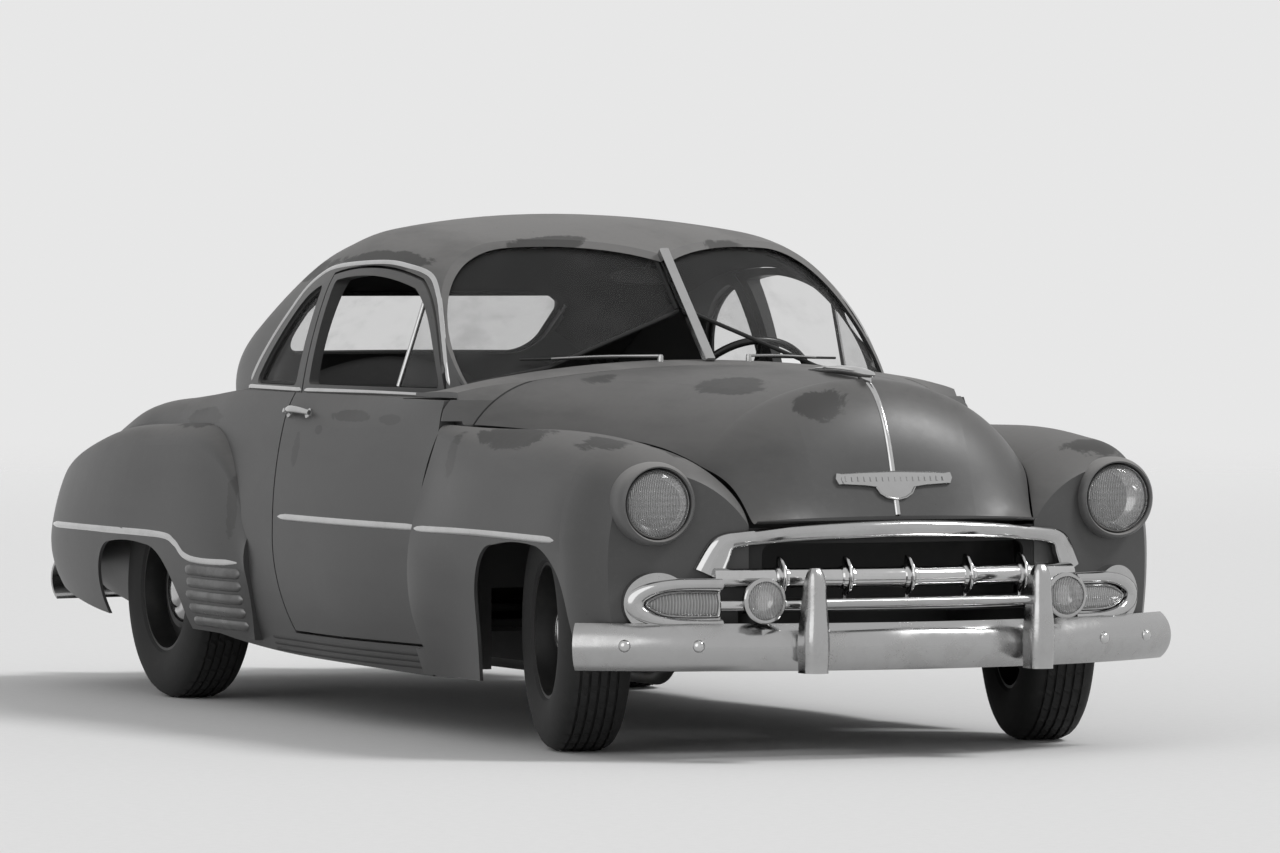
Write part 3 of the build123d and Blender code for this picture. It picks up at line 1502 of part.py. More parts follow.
wheel_centre = Vector(480, 370, 955)
column_slope = math.radians(34)
column_line = Vector(math.cos(column_slope), 0, -math.sin(column_slope))
column_start = 30
with BuildPart() as steering_column:
    with BuildSketch(Plane(origin=wheel_centre + column_line * column_start, x_dir=(0, 1, 0), z_dir=column_line)):
        Circle(24)
    extrude(amount=900)
    with BuildSketch(Plane.XY.offset(730)):
        with Locations((dash_x - 60, wheel_centre.Y)):
            Rectangle(30, 40)
    extrude(amount=140)
    add(dashboard.part, mode=Mode.SUBTRACT)
    split(bisect_by=across(firewall_x - seat_gap), keep=Keep.BOTTOM)
finish(steering_column, "steering_column")

with BuildPart() as steering_wheel:
    rim = Plane(origin=wheel_centre, x_dir=(0, 1, 0), z_dir=column_line)
    with BuildSketch(Plane(origin=wheel_centre, x_dir=(0, 1, 0), z_dir=Vector(0, 1, 0).cross(column_line))):
        with Locations((205, 0)):
            Circle(12)
    revolve(axis=Axis(wheel_centre, column_line))
    with BuildSketch(rim.offset(-8)):
        Circle(34)
        Rectangle(410, 22)
    extrude(amount=16)
    with BuildSketch(rim.offset(8)):
        Circle(22)
    extrude(amount=column_start - 8 - seat_gap)
finish(steering_wheel, "steering_wheel")

# Hood ornament: a slim fin along the middle of the hood
with BuildPart() as hood_ornament:
    with BuildSketch(Plane.XZ.offset(-20)):
        with BuildLine():
            Polyline((1700, 1050), (2050, 1024), (2132, 1050), (2118, 1066), (2020, 1076), (1700, 1060), close=True)
        make_face()
    extrude(amount=40)
    with BuildSketch(Plane.XY.offset(1000)):
        with Locations((1930, 0)):
            Ellipse(205, 13)
    extrude(amount=100, mode=Mode.INTERSECT)
    add(hood.part, mode=Mode.SUBTRACT)
finish(hood_ornament, "hood_ornament")
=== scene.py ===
"""Looks for the lowered coupe: satin weathered paint, worn chrome, ribbed tyres and a leather cabin.

Lengths are in metres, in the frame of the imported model: +X to the front, +Y to the car's left, +Z up.
"""

import json
import math

import bmesh
import bpy
from mathutils import Matrix, Vector
from mathutils.bvhtree import BVHTree


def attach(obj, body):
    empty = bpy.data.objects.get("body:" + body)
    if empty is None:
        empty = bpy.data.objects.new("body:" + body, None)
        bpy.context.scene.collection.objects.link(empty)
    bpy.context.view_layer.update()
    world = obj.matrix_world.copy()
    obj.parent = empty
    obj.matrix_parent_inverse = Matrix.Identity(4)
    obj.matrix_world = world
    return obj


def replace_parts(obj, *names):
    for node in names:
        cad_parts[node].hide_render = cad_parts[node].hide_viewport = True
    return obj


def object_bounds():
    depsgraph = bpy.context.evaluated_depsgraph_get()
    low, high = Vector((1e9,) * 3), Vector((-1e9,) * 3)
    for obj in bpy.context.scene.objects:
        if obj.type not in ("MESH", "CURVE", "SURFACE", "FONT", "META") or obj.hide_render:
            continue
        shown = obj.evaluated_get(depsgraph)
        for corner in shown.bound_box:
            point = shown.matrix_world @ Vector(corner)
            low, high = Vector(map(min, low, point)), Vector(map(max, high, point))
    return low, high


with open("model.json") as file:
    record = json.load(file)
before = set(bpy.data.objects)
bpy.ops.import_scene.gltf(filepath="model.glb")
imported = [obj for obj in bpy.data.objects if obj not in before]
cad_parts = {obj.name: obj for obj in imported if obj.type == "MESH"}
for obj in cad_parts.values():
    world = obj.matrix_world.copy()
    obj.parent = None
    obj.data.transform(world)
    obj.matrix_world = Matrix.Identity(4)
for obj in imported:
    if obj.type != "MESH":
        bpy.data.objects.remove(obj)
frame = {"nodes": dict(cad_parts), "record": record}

cad_box = [list(corner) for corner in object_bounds()]


# Finishes


class Sock:
    """A node's output, with arithmetic that adds Math nodes."""

    def __init__(self, finish, link):
        self.finish = finish
        self.link = link

    def math(self, operation, *values):
        return self.finish.node("Math", {"operation": operation}, dict(enumerate(values)))

    def __add__(self, other):
        return self.math("ADD", self, other)

    def __rsub__(self, other):
        return self.math("SUBTRACT", other, self)

    def __mul__(self, other):
        return self.math("MULTIPLY", self, other)

    __radd__ = __add__
    __rmul__ = __mul__

    def clamped(self, low, high):
        """0 below low, 1 above high, and smooth between."""
        values = {"Value": self, 1: low, 2: high, 3: 0.0, 4: 1.0}
        return self.finish.node("MapRange", {"interpolation_type": "SMOOTHSTEP"}, values)


class Finish:
    """One material and the nodes that make it."""

    def __init__(self, name):
        self.material = bpy.data.materials.new(name)
        self.material.use_nodes = True
        self.tree = self.material.node_tree
        self.tree.nodes.clear()
        self.place = self.node("TexCoord", out="Object")

    def node(self, kind, settings=None, inputs=None, out=0):
        """A shader node with its settings and inputs, as the output asked for."""
        made = self.tree.nodes.new("ShaderNode" + kind)
        for key, value in (settings or {}).items():
            setattr(made, key, value)
        for key, value in (inputs or {}).items():
            if isinstance(value, Sock):
                self.tree.links.new(value.link, made.inputs[key])
            else:
                made.inputs[key].default_value = value
        return Sock(self, made.outputs[out])

    def noise(self, scale, detail=4.0, rough=0.55, stretch=None, warp=0.0):
        """Soft noise from 0 to 1 in the object's own space."""
        where = self.place
        if stretch:
            where = self.node("VectorMath", {"operation": "MULTIPLY"}, {0: where, 1: stretch})
        values = {"Vector": where, "Scale": scale, "Detail": detail, "Roughness": rough, "Distortion": warp}
        return self.node("TexNoise", {}, values)

    def cells(self, scale, feature="F1"):
        return self.node("TexVoronoi", {"feature": feature}, {"Vector": self.place, "Scale": scale})

    def bands(self, direction, scale, waver=0.0):
        settings = {"wave_type": "BANDS", "bands_direction": direction}
        values = {"Vector": self.place, "Scale": scale, "Distortion": waver}
        return self.node("TexWave", settings, values, "Fac")

    def near(self, centre, radius, spread=(1, 1, 1)):
        """1 at a place on the object, fading to 0 at a radius that spread stretches along each axis."""
        short = tuple(1 / s for s in spread)
        centre = tuple(c * s for c, s in zip(centre, short))
        scaled = self.node("VectorMath", {"operation": "MULTIPLY"}, {0: self.place, 1: short})
        ends = {0: scaled, 1: centre}
        away = self.node("VectorMath", {"operation": "DISTANCE"}, ends, out="Value")
        return 1 - away.clamped(0.0, radius)

    def up(self):
        """The part of the surface's own normal that points up."""
        normal = self.node("TexCoord", out="Normal")
        return self.node("SeparateXYZ", {}, {0: normal}, out="Z")

    def mix(self, mask, low, high):
        """Colour low where mask is 0 and high where it is 1."""
        as_colour = [(*c, 1) if isinstance(c, tuple) else c for c in (low, high)]
        return self.node("Mix", {"data_type": "RGBA"}, {0: mask, 6: as_colour[0], 7: as_colour[1]}, out=2)

    def bump(self, height, depth, strength):
        return self.node("Bump", {}, {"Height": height, "Distance": depth, "Strength": strength})

    def shade(self, **values):
        """Close the material with one Principled shader and return the material."""
        inputs = {}
        for key, value in values.items():
            value = (*value, 1) if isinstance(value, tuple) and len(value) == 3 else value
            inputs[key.replace("_", " ")] = value
        shader = self.node("BsdfPrincipled", {}, inputs)
        self.node_out(shader)
        return self.material

    def node_out(self, shader):
        """Join a shader to the material's surface."""
        end = self.tree.nodes.new("ShaderNodeOutputMaterial")
        self.tree.links.new(shader.link, end.inputs["Surface"])


def grey(value, warm=0.0):
    """A grey, warmer where warm is above 0."""
    return (value * (1 + warm), value, value * (1 - warm))


def weathered_paint(name, base, shine, patches=()):
    """Old satin paint with thin spots, rust freckles and primer patches; faces that point up are chalky and
    painted lighter as top light.
    """
    f = Finish(name)
    cloud = f.noise(1.3, 6, 0.62, warp=0.4)
    streak = f.noise(2.4, 6, 0.62, stretch=(0.45, 1.0, 2.2))
    grain = f.noise(48, 4, 0.7)
    ragged = f.noise(8, 8, 0.75, stretch=(0.4, 1.0, 1.4), warp=0.6)
    # Faces pointing up get a lighter colour: partly chalking, partly painted top light.
    chalk_and_top_light = (f.up().clamped(0.1, 1.0) * 0.9 + cloud * 0.5).clamped(0.2, 1.2)
    colour = f.mix(chalk_and_top_light, grey(base), grey(base * 2.7, 0.02))
    colour = f.mix(streak.clamped(0.45, 0.72) * 0.45, colour, grey(base * 0.66))
    colour = f.mix(grain.clamped(0.5, 0.75) * 0.15, colour, grey(base * 2.0, 0.02))
    patch = 0.0
    for centre, radius, spread in patches:
        patch = f.near(centre, radius, spread) + patch
    if patches:
        primer = (patch + ragged * 1.5).clamped(1.2, 1.34)
        colour = f.mix(primer * 0.8, colour, grey(base * 0.38, 0.03))
    freckles = 1 - f.cells(34).clamped(0.05, 0.13)
    sparse = f.noise(4.5, 4, 0.6).clamped(0.58, 0.66)
    rust = freckles * sparse
    colour = f.mix(rust * 0.7, colour, grey(base * 0.4, 0.1))
    rough = cloud * 0.16 + grain * 0.08 + shine + chalk_and_top_light * 0.16
    height = grain * 0.4 + rust * 0.6
    return f.shade(
        Base_Color=colour, Roughness=rough, Metallic=0.0, Normal=f.bump(height, 0.0006, 0.35),
        Coat_Weight=(1 - chalk_and_top_light) * 0.22, Coat_Roughness=0.3,
    )


def worn_chrome(name, base=0.62, dull=0.0):
    """Plated metal with fine pitting, hazy patches and dark spots."""
    f = Finish(name)
    haze = f.noise(9, 6, 0.65, warp=0.3)
    pits = 1 - f.cells(160).clamped(0.1, 0.3)
    thin = f.noise(22, 5, 0.7).clamped(0.56, 0.7)
    spot = pits * thin
    colour = f.mix(haze.clamped(0.4, 0.7) * 0.35, grey(base), grey(base * 0.72, 0.015))
    colour = f.mix(spot * 0.8, colour, grey(0.09, 0.05))
    rough = haze.clamped(0.35, 0.75) * (0.16 + dull) + spot * 0.35 + 0.07 + dull
    normal = f.bump(spot + haze * 0.2, 0.0004, 0.25)
    return f.shade(Base_Color=colour, Metallic=1.0, Roughness=rough, Normal=normal)


def tyre_rubber():
    """Black rubber with road dust."""
    f = Finish("tyre rubber")
    dust = f.noise(14, 6, 0.7)
    fine = f.noise(140, 2, 0.6)
    colour = f.mix(dust.clamped(0.5, 0.75) * 0.5, grey(0.009), grey(0.028, 0.04))
    return f.shade(Base_Color=colour, Roughness=dust * 0.2 + 0.68, Normal=f.bump(fine, 0.0005, 0.4))


def black_enamel(name, base=0.02, shine=0.32):
    """Steel in old black enamel with road dust."""
    f = Finish(name)
    dust = f.noise(11, 6, 0.66)
    fine = f.noise(90, 3, 0.6)
    colour = f.mix(dust.clamped(0.5, 0.72) * 0.5, grey(base), grey(base * 2.6, 0.05))
    return f.shade(Base_Color=colour, Roughness=dust * 0.25 + shine, Normal=f.bump(fine, 0.0004, 0.3))


def bare_metal(name, base, rough, metal, grit=60):
    """Cast or bare metal with rust bloom."""
    f = Finish(name)
    bloom = f.noise(8, 6, 0.68)
    grain = f.noise(grit, 4, 0.7)
    colour = f.mix(bloom.clamped(0.45, 0.7), grey(base), grey(base * 0.55, 0.14))
    plain = 1 - bloom.clamped(0.5, 0.8) * 0.6
    return f.shade(
        Base_Color=colour, Roughness=grain * 0.2 + rough, Metallic=metal * plain,
        Normal=f.bump(grain, 0.001, 0.4),
    )


def clear_glass(name, tone, see, dirt):
    """Thin glass: mostly see-through, with a sharp reflection and a little dust."""
    f = Finish(name)
    film = f.noise(6, 5, 0.6)
    shader = f.node("BsdfPrincipled", {}, {
        "Base Color": (*grey(tone), 1), "Roughness": film * 0.06 + 0.02, "IOR": 1.5,
        "Alpha": film.clamped(0.45, 0.8) * dirt + see,
    })
    f.node_out(shader)
    return f.material


def fluted_lens(name, flute, base=0.75, see=0.45):
    """Pressed lamp glass with upright flutes; its colour is light on the flute crests and dark between them,
    painted glints.
    """
    f = Finish(name)
    flute_bands_and_glints = f.bands("Y", flute)
    cross = f.bands("Z", flute * 0.3)
    film = f.noise(12, 4, 0.6)
    height = flute_bands_and_glints + cross * 0.5
    # Painted glints and shade: colour follows the flutes, dark between them and light on their crests.
    colour = f.mix(flute_bands_and_glints * 0.7 + film * 0.3, grey(base * 0.4), grey(base))
    return f.shade(
        Base_Color=colour, Roughness=film * 0.08 + 0.05, Normal=f.bump(height, 0.004, 0.9),
        Alpha=film * 0.1 + see, Coat_Weight=film * 0.2 + 0.5,
    )


def red_lens():
    """Red pressed glass with level ribs."""
    f = Finish("ribbed red lens")
    ring = f.bands("Z", 60.0)
    film = f.noise(20, 4, 0.6)
    colour = f.mix(film, (0.28, 0.01, 0.012), (0.4, 0.03, 0.03))
    return f.shade(Base_Color=colour, Roughness=film * 0.1 + 0.12, Normal=f.bump(ring, 0.002, 0.6))


def old_leather(name, base=0.035):
    """Cracked seat leather with a fine grain."""
    f = Finish(name)
    pebble = f.cells(420, "SMOOTH_F1")
    crack = f.node("TexVoronoi", {"feature": "DISTANCE_TO_EDGE"}, {"Vector": f.place, "Scale": 90.0})
    wear = f.noise(5, 5, 0.6)
    colour = f.mix(wear.clamped(0.4, 0.75), grey(base, 0.06), grey(base * 2.2, 0.08))
    height = pebble * 0.5 + crack.clamped(0.0, 0.06)
    return f.shade(Base_Color=colour, Roughness=wear * 0.2 + 0.42, Normal=f.bump(height, 0.0009, 0.6))


def woven(name, base, scale=240.0):
    """Cloth with warp and weft threads."""
    f = Finish(name)
    warp = f.bands("X", scale, 0.6)
    weft = f.bands("Y", scale, 0.6)
    soil = f.noise(4, 5, 0.6)
    colour = f.mix(soil.clamped(0.4, 0.7), grey(base, 0.03), grey(base * 0.6, 0.05))
    return f.shade(Base_Color=colour, Roughness=soil * 0.1 + 0.85, Normal=f.bump(warp * weft, 0.0003, 0.25))


def bakelite(name, base=0.02):
    """Glossy black plastic with a faint swirl."""
    f = Finish(name)
    swirl = f.noise(18, 4, 0.5, warp=2.0)
    colour = f.mix(swirl, grey(base), grey(base * 1.8, 0.04))
    return f.shade(Base_Color=colour, Roughness=swirl * 0.12 + 0.2, Normal=f.bump(swirl, 0.0003, 0.2))


def dial_face():
    """Pale printed plate of a dial."""
    f = Finish("dial face")
    print_ring = f.noise(40, 3, 0.6)
    colour = f.mix(print_ring.clamped(0.4, 0.7), grey(0.5, 0.03), grey(0.36, 0.05))
    return f.shade(Base_Color=colour, Roughness=print_ring * 0.1 + 0.35)


ROOF_EDGE = [
    ((-0.55, -0.62, 1.33), 0.16, (4.2, 1.0, 0.42)),
    ((0.15, -0.63, 1.36), 0.14, (4.0, 1.0, 0.4)),
    ((0.56, -0.34, 1.42), 0.11, (1.2, 2.6, 0.7)),
    ((0.60, 0.30, 1.41), 0.10, (1.0, 2.6, 0.6)),
    ((-0.2, 0.64, 1.35), 0.14, (4.4, 0.9, 0.45)),
    ((-1.25, -0.40, 1.18), 0.12, (1.0, 2.0, 1.0)),
    ((-1.05, -0.55, 1.02), 0.12, (2.4, 1.2, 0.5)),
]
FENDER_TOP = [
    ((1.45, -0.80, 0.87), 0.15, (3.0, 1.0, 0.55)),
    ((1.95, -0.74, 0.85), 0.12, (2.0, 1.2, 0.6)),
    ((1.16, -0.85, 0.80), 0.10, (1.0, 0.8, 1.3)),
    ((2.05, -0.60, 0.84), 0.10, (2.2, 1.0, 0.6)),
    ((1.60, 0.80, 0.87), 0.13, (3.0, 0.9, 0.6)),
    ((2.10, 0.70, 0.84), 0.13, (1.2, 1.4, 0.8)),
]
DOOR_BELT = [
    ((0.34, -0.84, 0.905), 0.13, (2.6, 1.0, 0.30)),
    ((0.66, -0.84, 0.90), 0.09, (1.8, 1.0, 0.34)),
    ((-0.03, -0.86, 0.80), 0.06, (0.9, 1.0, 1.6)),
    ((0.12, -0.86, 0.86), 0.06, (1.0, 1.0, 0.5)),
    ((0.30, 0.84, 0.905), 0.12, (2.4, 1.0, 0.35)),
]
TAIL_SIDE = [
    ((-0.50, -0.88, 0.62), 0.12, (0.6, 1.0, 1.5)),
    ((-0.90, -0.80, 0.87), 0.16, (2.2, 1.0, 0.5)),
    ((-1.60, -0.78, 0.80), 0.13, (2.6, 1.0, 0.5)),
    ((-1.10, 0.80, 0.86), 0.14, (2.4, 1.0, 0.5)),
]
HOOD_TOP = [
    ((1.25, -0.42, 1.00), 0.14, (1.6, 1.8, 0.6)),
    ((1.80, -0.28, 1.02), 0.17, (1.8, 1.0, 0.7)),
    ((2.12, -0.16, 0.93), 0.13, (0.8, 1.4, 1.2)),
    ((1.50, 0.35, 1.02), 0.13, (1.8, 1.2, 0.7)),
]

paint = weathered_paint("satin paint", 0.046, 0.38, DOOR_BELT)
# The roof's paint is a lighter copy of the body paint, a painted top light on the roof.
roof_paint_with_painted_light = weathered_paint("chalked roof paint, lightened as painted top light", 0.062, 0.44, ROOF_EDGE)
fender_paint = weathered_paint("fender paint", 0.047, 0.36, FENDER_TOP)
tail_paint = weathered_paint("tail paint", 0.046, 0.38, TAIL_SIDE)
bezel_paint = weathered_paint("bezel paint", 0.085, 0.4)
hood_paint = weathered_paint("hood paint", 0.04, 0.28, HOOD_TOP)
chrome = worn_chrome("worn chrome", 0.46)
bright = worn_chrome("bright trim", 0.54)
tarnished = worn_chrome("tarnished chrome", 0.43, 0.07)
rubber = tyre_rubber()
wheel_black = black_enamel("wheel enamel", 0.012, 0.3)
chassis_black = black_enamel("chassis black", 0.010, 0.55)
rocker_black = black_enamel("ribbed rocker black", 0.012, 0.4)
seam_black = black_enamel("rubber seal", 0.007, 0.6)
window_glass = clear_glass("window glass", tone=0.0984, see=0.13, dirt=0.1)
# The headlamp and fog lenses' near-white base colour stands for a painted reflection of the surroundings.
lamp_glass = fluted_lens("headlamp glass", 62.0, 0.88, 0.36)
marker_glass = fluted_lens("parking lamp glass", 40.0, 0.5, 0.8)
reflector = worn_chrome("reflector", 0.5)
shield_metal = worn_chrome("dull stainless", 0.17, 0.2)
tail_red = red_lens()
leather = old_leather("cracked leather", 0.018)
carpet = woven("floor carpet", 0.016, 160.0)
headliner = woven("headliner cloth", 0.022)
black_plastic = bakelite("black bakelite", 0.014)
dial = dial_face()

FINISHES = {
    "body_paint": paint, "tyre_rubber": rubber, "wheel_paint": wheel_black, "chrome": chrome,
    "chassis_paint": chassis_black, "engine_iron": bare_metal("engine iron", 0.09, 0.5, 0.4),
    "radiator_black": black_enamel("radiator black", 0.012, 0.5),
    "tank_steel": bare_metal("tank steel", 0.22, 0.4, 0.8),
    "exhaust_steel": bare_metal("exhaust steel", 0.2, 0.42, 0.8),
    "window_glass": window_glass, "tail_lens": tail_red, "seat_leather": leather,
    "dash_paint": weathered_paint("dash paint", 0.03, 0.3), "steering_plastic": black_plastic,
}
OWN_FINISH = {
    "cab_upper": roof_paint_with_painted_light, "hood": hood_paint, "front_fender_left": fender_paint,
    "front_fender_right": fender_paint, "rear_fender_left": tail_paint, "rear_fender_right": tail_paint,
    "cab_lower": tail_paint, "grille_bars": chrome, "front_bumper": tarnished,
    "rear_bumper": tarnished, "floor_pan": carpet,
}
for part in frame["record"]["subparts"]:
    finish = OWN_FINISH.get(part["node"], FINISHES[part["material_slot"]])
    for holder in frame["nodes"][part["node"]].material_slots:
        holder.material = finish


# Making pieces: a shape is a list of points and a list of faces


def merged(*shapes):
    """Several shapes as one."""
    points, faces = [], []
    for some_points, some_faces in shapes:
        start = len(points)
        points += some_points
        faces += [tuple(start + k for k in face) for face in some_faces]
    return points, faces


def make_piece(name, shape, finish, body="body", angle=35):
    """A mesh piece that rides on a body and takes a finish; edges sharper than angle stay sharp."""
    points, faces = shape
    mesh = bpy.data.meshes.new(name)
    mesh.from_pydata([tuple(p) for p in points], [], faces)
    work = bmesh.new()
    work.from_mesh(mesh)
    bmesh.ops.remove_doubles(work, verts=work.verts, dist=1e-6)
    bmesh.ops.recalc_face_normals(work, faces=work.faces)
    for face in work.faces:
        face.smooth = True
    for edge in work.edges:
        if len(edge.link_faces) == 2 and edge.calc_face_angle(0.0) > math.radians(angle):
            edge.smooth = False
    work.to_mesh(mesh)
    work.free()
    mesh.materials.append(finish)
    piece = bpy.data.objects.new(name, mesh)
    bpy.context.collection.objects.link(piece)
    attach(piece, body)
    return piece


def ring_faces(rings, count, closed=True):
    """Faces between rings of count points each."""
    faces = []
    for i in range(rings - 1):
        for k in range(count if closed else count - 1):
            n = (k + 1) % count
            faces.append((i * count + k, i * count + n, (i + 1) * count + n, (i + 1) * count + k))
    return faces


def capped(points, count):
    """A solid through rings of count points each, closed at both ends."""
    last = len(points) - count
    ends = [tuple(range(count)), tuple(range(last, last + count))]
    return points, ring_faces(len(points) // count, count) + ends


def circle(steps):
    """Cosine and sine of equal steps once round."""
    return [(math.cos(2 * math.pi * k / steps), math.sin(2 * math.pi * k / steps)) for k in range(steps)]


def axes_for(axis):
    """An axis and two directions at right angles to it."""
    axis = Vector(axis).normalized()
    side = axis.cross(Vector((0, 0, 1)))
    if side.length < 0.1:
        side = axis.cross(Vector((1, 0, 0)))
    side.normalize()
    return axis, side, axis.cross(side).normalized()


def turned(profile, centre, axis, steps=64):
    """A shape turned on a lathe: the profile is radius and distance along the axis."""
    axis, side, rise = axes_for(axis)
    centre = Vector(centre)
    points = []
    for r, along in profile:
        for c, s in circle(steps):
            points.append(centre + axis * along + (side * c + rise * s) * r)
    return points, ring_faces(len(profile), steps)


def flowing(points, steps=6):
    """Smooth path through points."""
    points = [Vector(p) for p in points]
    out = []
    for i in range(len(points) - 1):
        a = points[max(i - 1, 0)]
        b, c = points[i], points[i + 1]
        d = points[min(i + 2, len(points) - 1)]
        for k in range(steps):
            t = k / steps
            bend = (2 * a - 5 * b + 4 * c - d) * t * t + (3 * b - 3 * c + d - a) * t ** 3
            out.append(0.5 * (2 * b + (c - a) * t + bend))
    out.append(points[-1])
    return out


def rod(path, radius, sides=12):
    """A round rod along a path; radius may vary with the share of the way along."""
    path = [Vector(p) for p in path]
    points = []
    side = None
    last = len(path) - 1
    for i, p in enumerate(path):
        along = (path[min(i + 1, last)] - path[max(i - 1, 0)]).normalized()
        side = axes_for(along)[1] if side is None else (side - along * side.dot(along)).normalized()
        rise = along.cross(side).normalized()
        size = radius(i / last) if callable(radius) else radius
        points += [p + (side * c + rise * s) * size for c, s in circle(sides)]
    return capped(points, sides)


skins = {}


def skin(node):
    """A CAD node's surface for placing things on."""
    if node not in skins:
        mesh = frame["nodes"][node].data
        mesh.calc_loop_triangles()
        skins[node] = BVHTree.FromPolygons(
            [v.co for v in mesh.vertices], [t.vertices for t in mesh.loop_triangles]
        )
    return skins[node]


def hit(node, start, heading):
    """Where a ray first meets a node, and the surface's direction back to the start, or None."""
    heading = Vector(heading)
    spot, normal, _, _ = skin(node).ray_cast(Vector(start), heading)
    if spot is None:
        return None
    return spot, normal if normal.dot(heading) <= 0 else -normal


def on_side(node, side, x, z):
    """Point and outward direction of a node's outer side at x and z."""
    return hit(node, (x, side * 1.3, z), (0, -side, 0))


SEAT_SINK = 0.002


def moulding(seats, half, proud, tip=0.06):
    """A half-round strip along seats on a panel, narrowing to its tips and kept inside the car's width."""
    widest = cad_box[1][1] - 0.0002
    last = len(seats) - 1
    points = []
    for i, (spot, out) in enumerate(seats):
        along = (seats[min(i + 1, last)][0] - seats[max(i - 1, 0)][0]).normalized()
        over = out.cross(along).normalized()
        rise = along.cross(over).normalized()
        if rise.dot(out) < 0:
            rise = -rise
        t = i / last
        ease = min(1.0, max(0.25, min(t, 1 - t) / tip))
        for k in range(9):
            turn = math.pi * k / 8
            reach, lift = math.cos(turn) * half * ease, math.sin(turn) * proud * ease - SEAT_SINK
            p = spot + over * reach + rise * lift
            points.append(Vector((p.x, max(-widest, min(widest, p.y)), p.z)))
    return capped(points, 9)


def side_seats(node, side, path):
    """Seats on a node's side along a path of (x, z)."""
    path = flowing([(x, 0, z) for x, z in path], 10)
    seats = [on_side(node, side, p.x, p.z) for p in path]
    return [seat for seat in seats if seat]


SIDES = (("left", 1), ("right", -1))

# Side trim: spears, belt strips, window reveals and handles
SPEARS = [
    ("door_{}", "door_{}", "door_spear", [(-0.132, 0.597), (0.385, 0.597), (0.902, 0.597)]),
    ("front_fender_{}", "body", "fender_spear", [(0.930, 0.597), (1.440, 0.600), (1.960, 0.597)]),
    ("rear_fender_{}", "body", "rear_spear", [
        (-2.120, 0.512), (-1.770, 0.515), (-1.430, 0.516), (-0.980, 0.515), (-0.86, 0.495), (-0.78, 0.458),
        (-0.66, 0.445), (-0.42, 0.447),
    ]),
]
for label, side in SIDES:
    for node, body, title, path in SPEARS:
        strip = moulding(side_seats(node.format(label), side, path), 0.011, 0.006)
        make_piece(f"{title}_{label}", strip, bright, body.format(label))

DRIP = [
    (0.742, 0.995), (0.700, 1.085), (0.640, 1.170), (0.555, 1.255), (0.450, 1.318), (0.300, 1.345),
    (0.130, 1.356), (-0.160, 1.344), (-0.300, 1.322), (-0.430, 1.270), (-0.545, 1.175), (-0.620, 1.070),
    (-0.655, 0.990),
]
BELT_DOOR = [(-0.158, 0.972), (0.280, 0.972), (0.700, 0.968)]
BELT_REAR = [(-0.176, 0.972), (-0.420, 0.974), (-0.665, 0.975)]
WINDOW_TRIM = [
    ("cab_upper", "body", "window_drip", DRIP), ("door_{}", "door_{}", "belt_strip", BELT_DOOR),
    ("cab_upper", "body", "quarter_strip", BELT_REAR),
]
for label, side in SIDES:
    for node, body, title, path in WINDOW_TRIM:
        strip = moulding(side_seats(node.format(label), side, path), 0.009, 0.006, 0.02)
        make_piece(f"{title}_{label}", strip, bright, body.format(label))


VENT_DEPTH = 0.016
VENT_MID_Z = 1.10
VENT_ROWS = 15
SCAN_STEP = 0.002


def divider_x(z):
    """The vent divider leans forward as it rises."""
    return 0.421 + 0.16 * (z - 0.900)


def first_hit(door, side, spots):
    """First of some (x, z) spots where the door's frame is, moved in to the depth of the glass."""
    for x, z in spots:
        found = on_side(door, side, x, z)
        if found:
            return found[0] - found[1] * VENT_DEPTH
    return None


def vent_frame(label, side):
    """Vent pane in the front of the door's window, with its bright divider bar."""
    door = f"door_{label}"
    rise = [VENT_MID_Z + SCAN_STEP * k for k in range(120)]
    fall = [VENT_MID_Z - SCAN_STEP * k for k in range(120)]
    head = first_hit(door, side, [(divider_x(z), z) for z in rise])
    sill = first_hit(door, side, [(divider_x(z), z) for z in fall])
    bar, points = [], []
    half = Vector((0, side * 0.0022, 0))
    for k in range(VENT_ROWS):
        z = sill.z + 0.002 + (head.z - sill.z - 0.006) * k / (VENT_ROWS - 1)
        x = divider_x(z)
        share = (z - sill.z) / (head.z - sill.z)
        back = Vector((x, sill.y + (head.y - sill.y) * share, z))
        edge = first_hit(door, side, [(x + SCAN_STEP * n, z) for n in range(2, 200)])
        fore = edge + Vector((0.002, 0, 0))
        points += [back + half, fore + half, fore - half, back - half]
        bar.append(back)
    pane = make_piece(f"vent_glass_{label}", capped(points, 4), window_glass, door)
    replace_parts(pane, f"vent_window_{label}")
    make_piece(f"vent_divider_{label}", rod(bar, 0.0075), bright, door)


HANDLE_FOOT = [(0.0, -0.004), (0.017, -0.004), (0.016, 0.006), (0.009, 0.012), (0.007, 0.026), (0.0, 0.026)]
HANDLE_Z = 0.905
HANDLE_FRONT = 0.035
HANDLE_LENGTH = 0.19
RIB_HEIGHTS = (0.255, 0.295, 0.335, 0.375, 0.413)
ROCKER_HEIGHTS = (0.196, 0.214, 0.232)


def door_handle(label, side):
    """Pull-out handle: a curved bar on two feet."""
    door = f"door_{label}"
    grip = []
    for k in range(13):
        t = k / 12
        x = HANDLE_FRONT - HANDLE_LENGTH * t
        spot, out = on_side(door, side, max(min(x, 0.03), -0.15), HANDLE_Z)
        lift = 0.012 + 0.024 * math.sin(math.pi * min(1.0, t * 1.15))
        grip.append(spot + Vector((x - spot.x, 0, 0)) + out * lift)
    shapes = [rod(grip, lambda t: 0.0075 + 0.004 * math.sin(math.pi * t))]
    for x in (0.012, -0.135):
        spot, out = on_side(door, side, x, HANDLE_Z)
        shapes.append(turned(HANDLE_FOOT, spot, out, 24))
    make_piece(f"door_handle_{label}", merged(*shapes), bright, door)


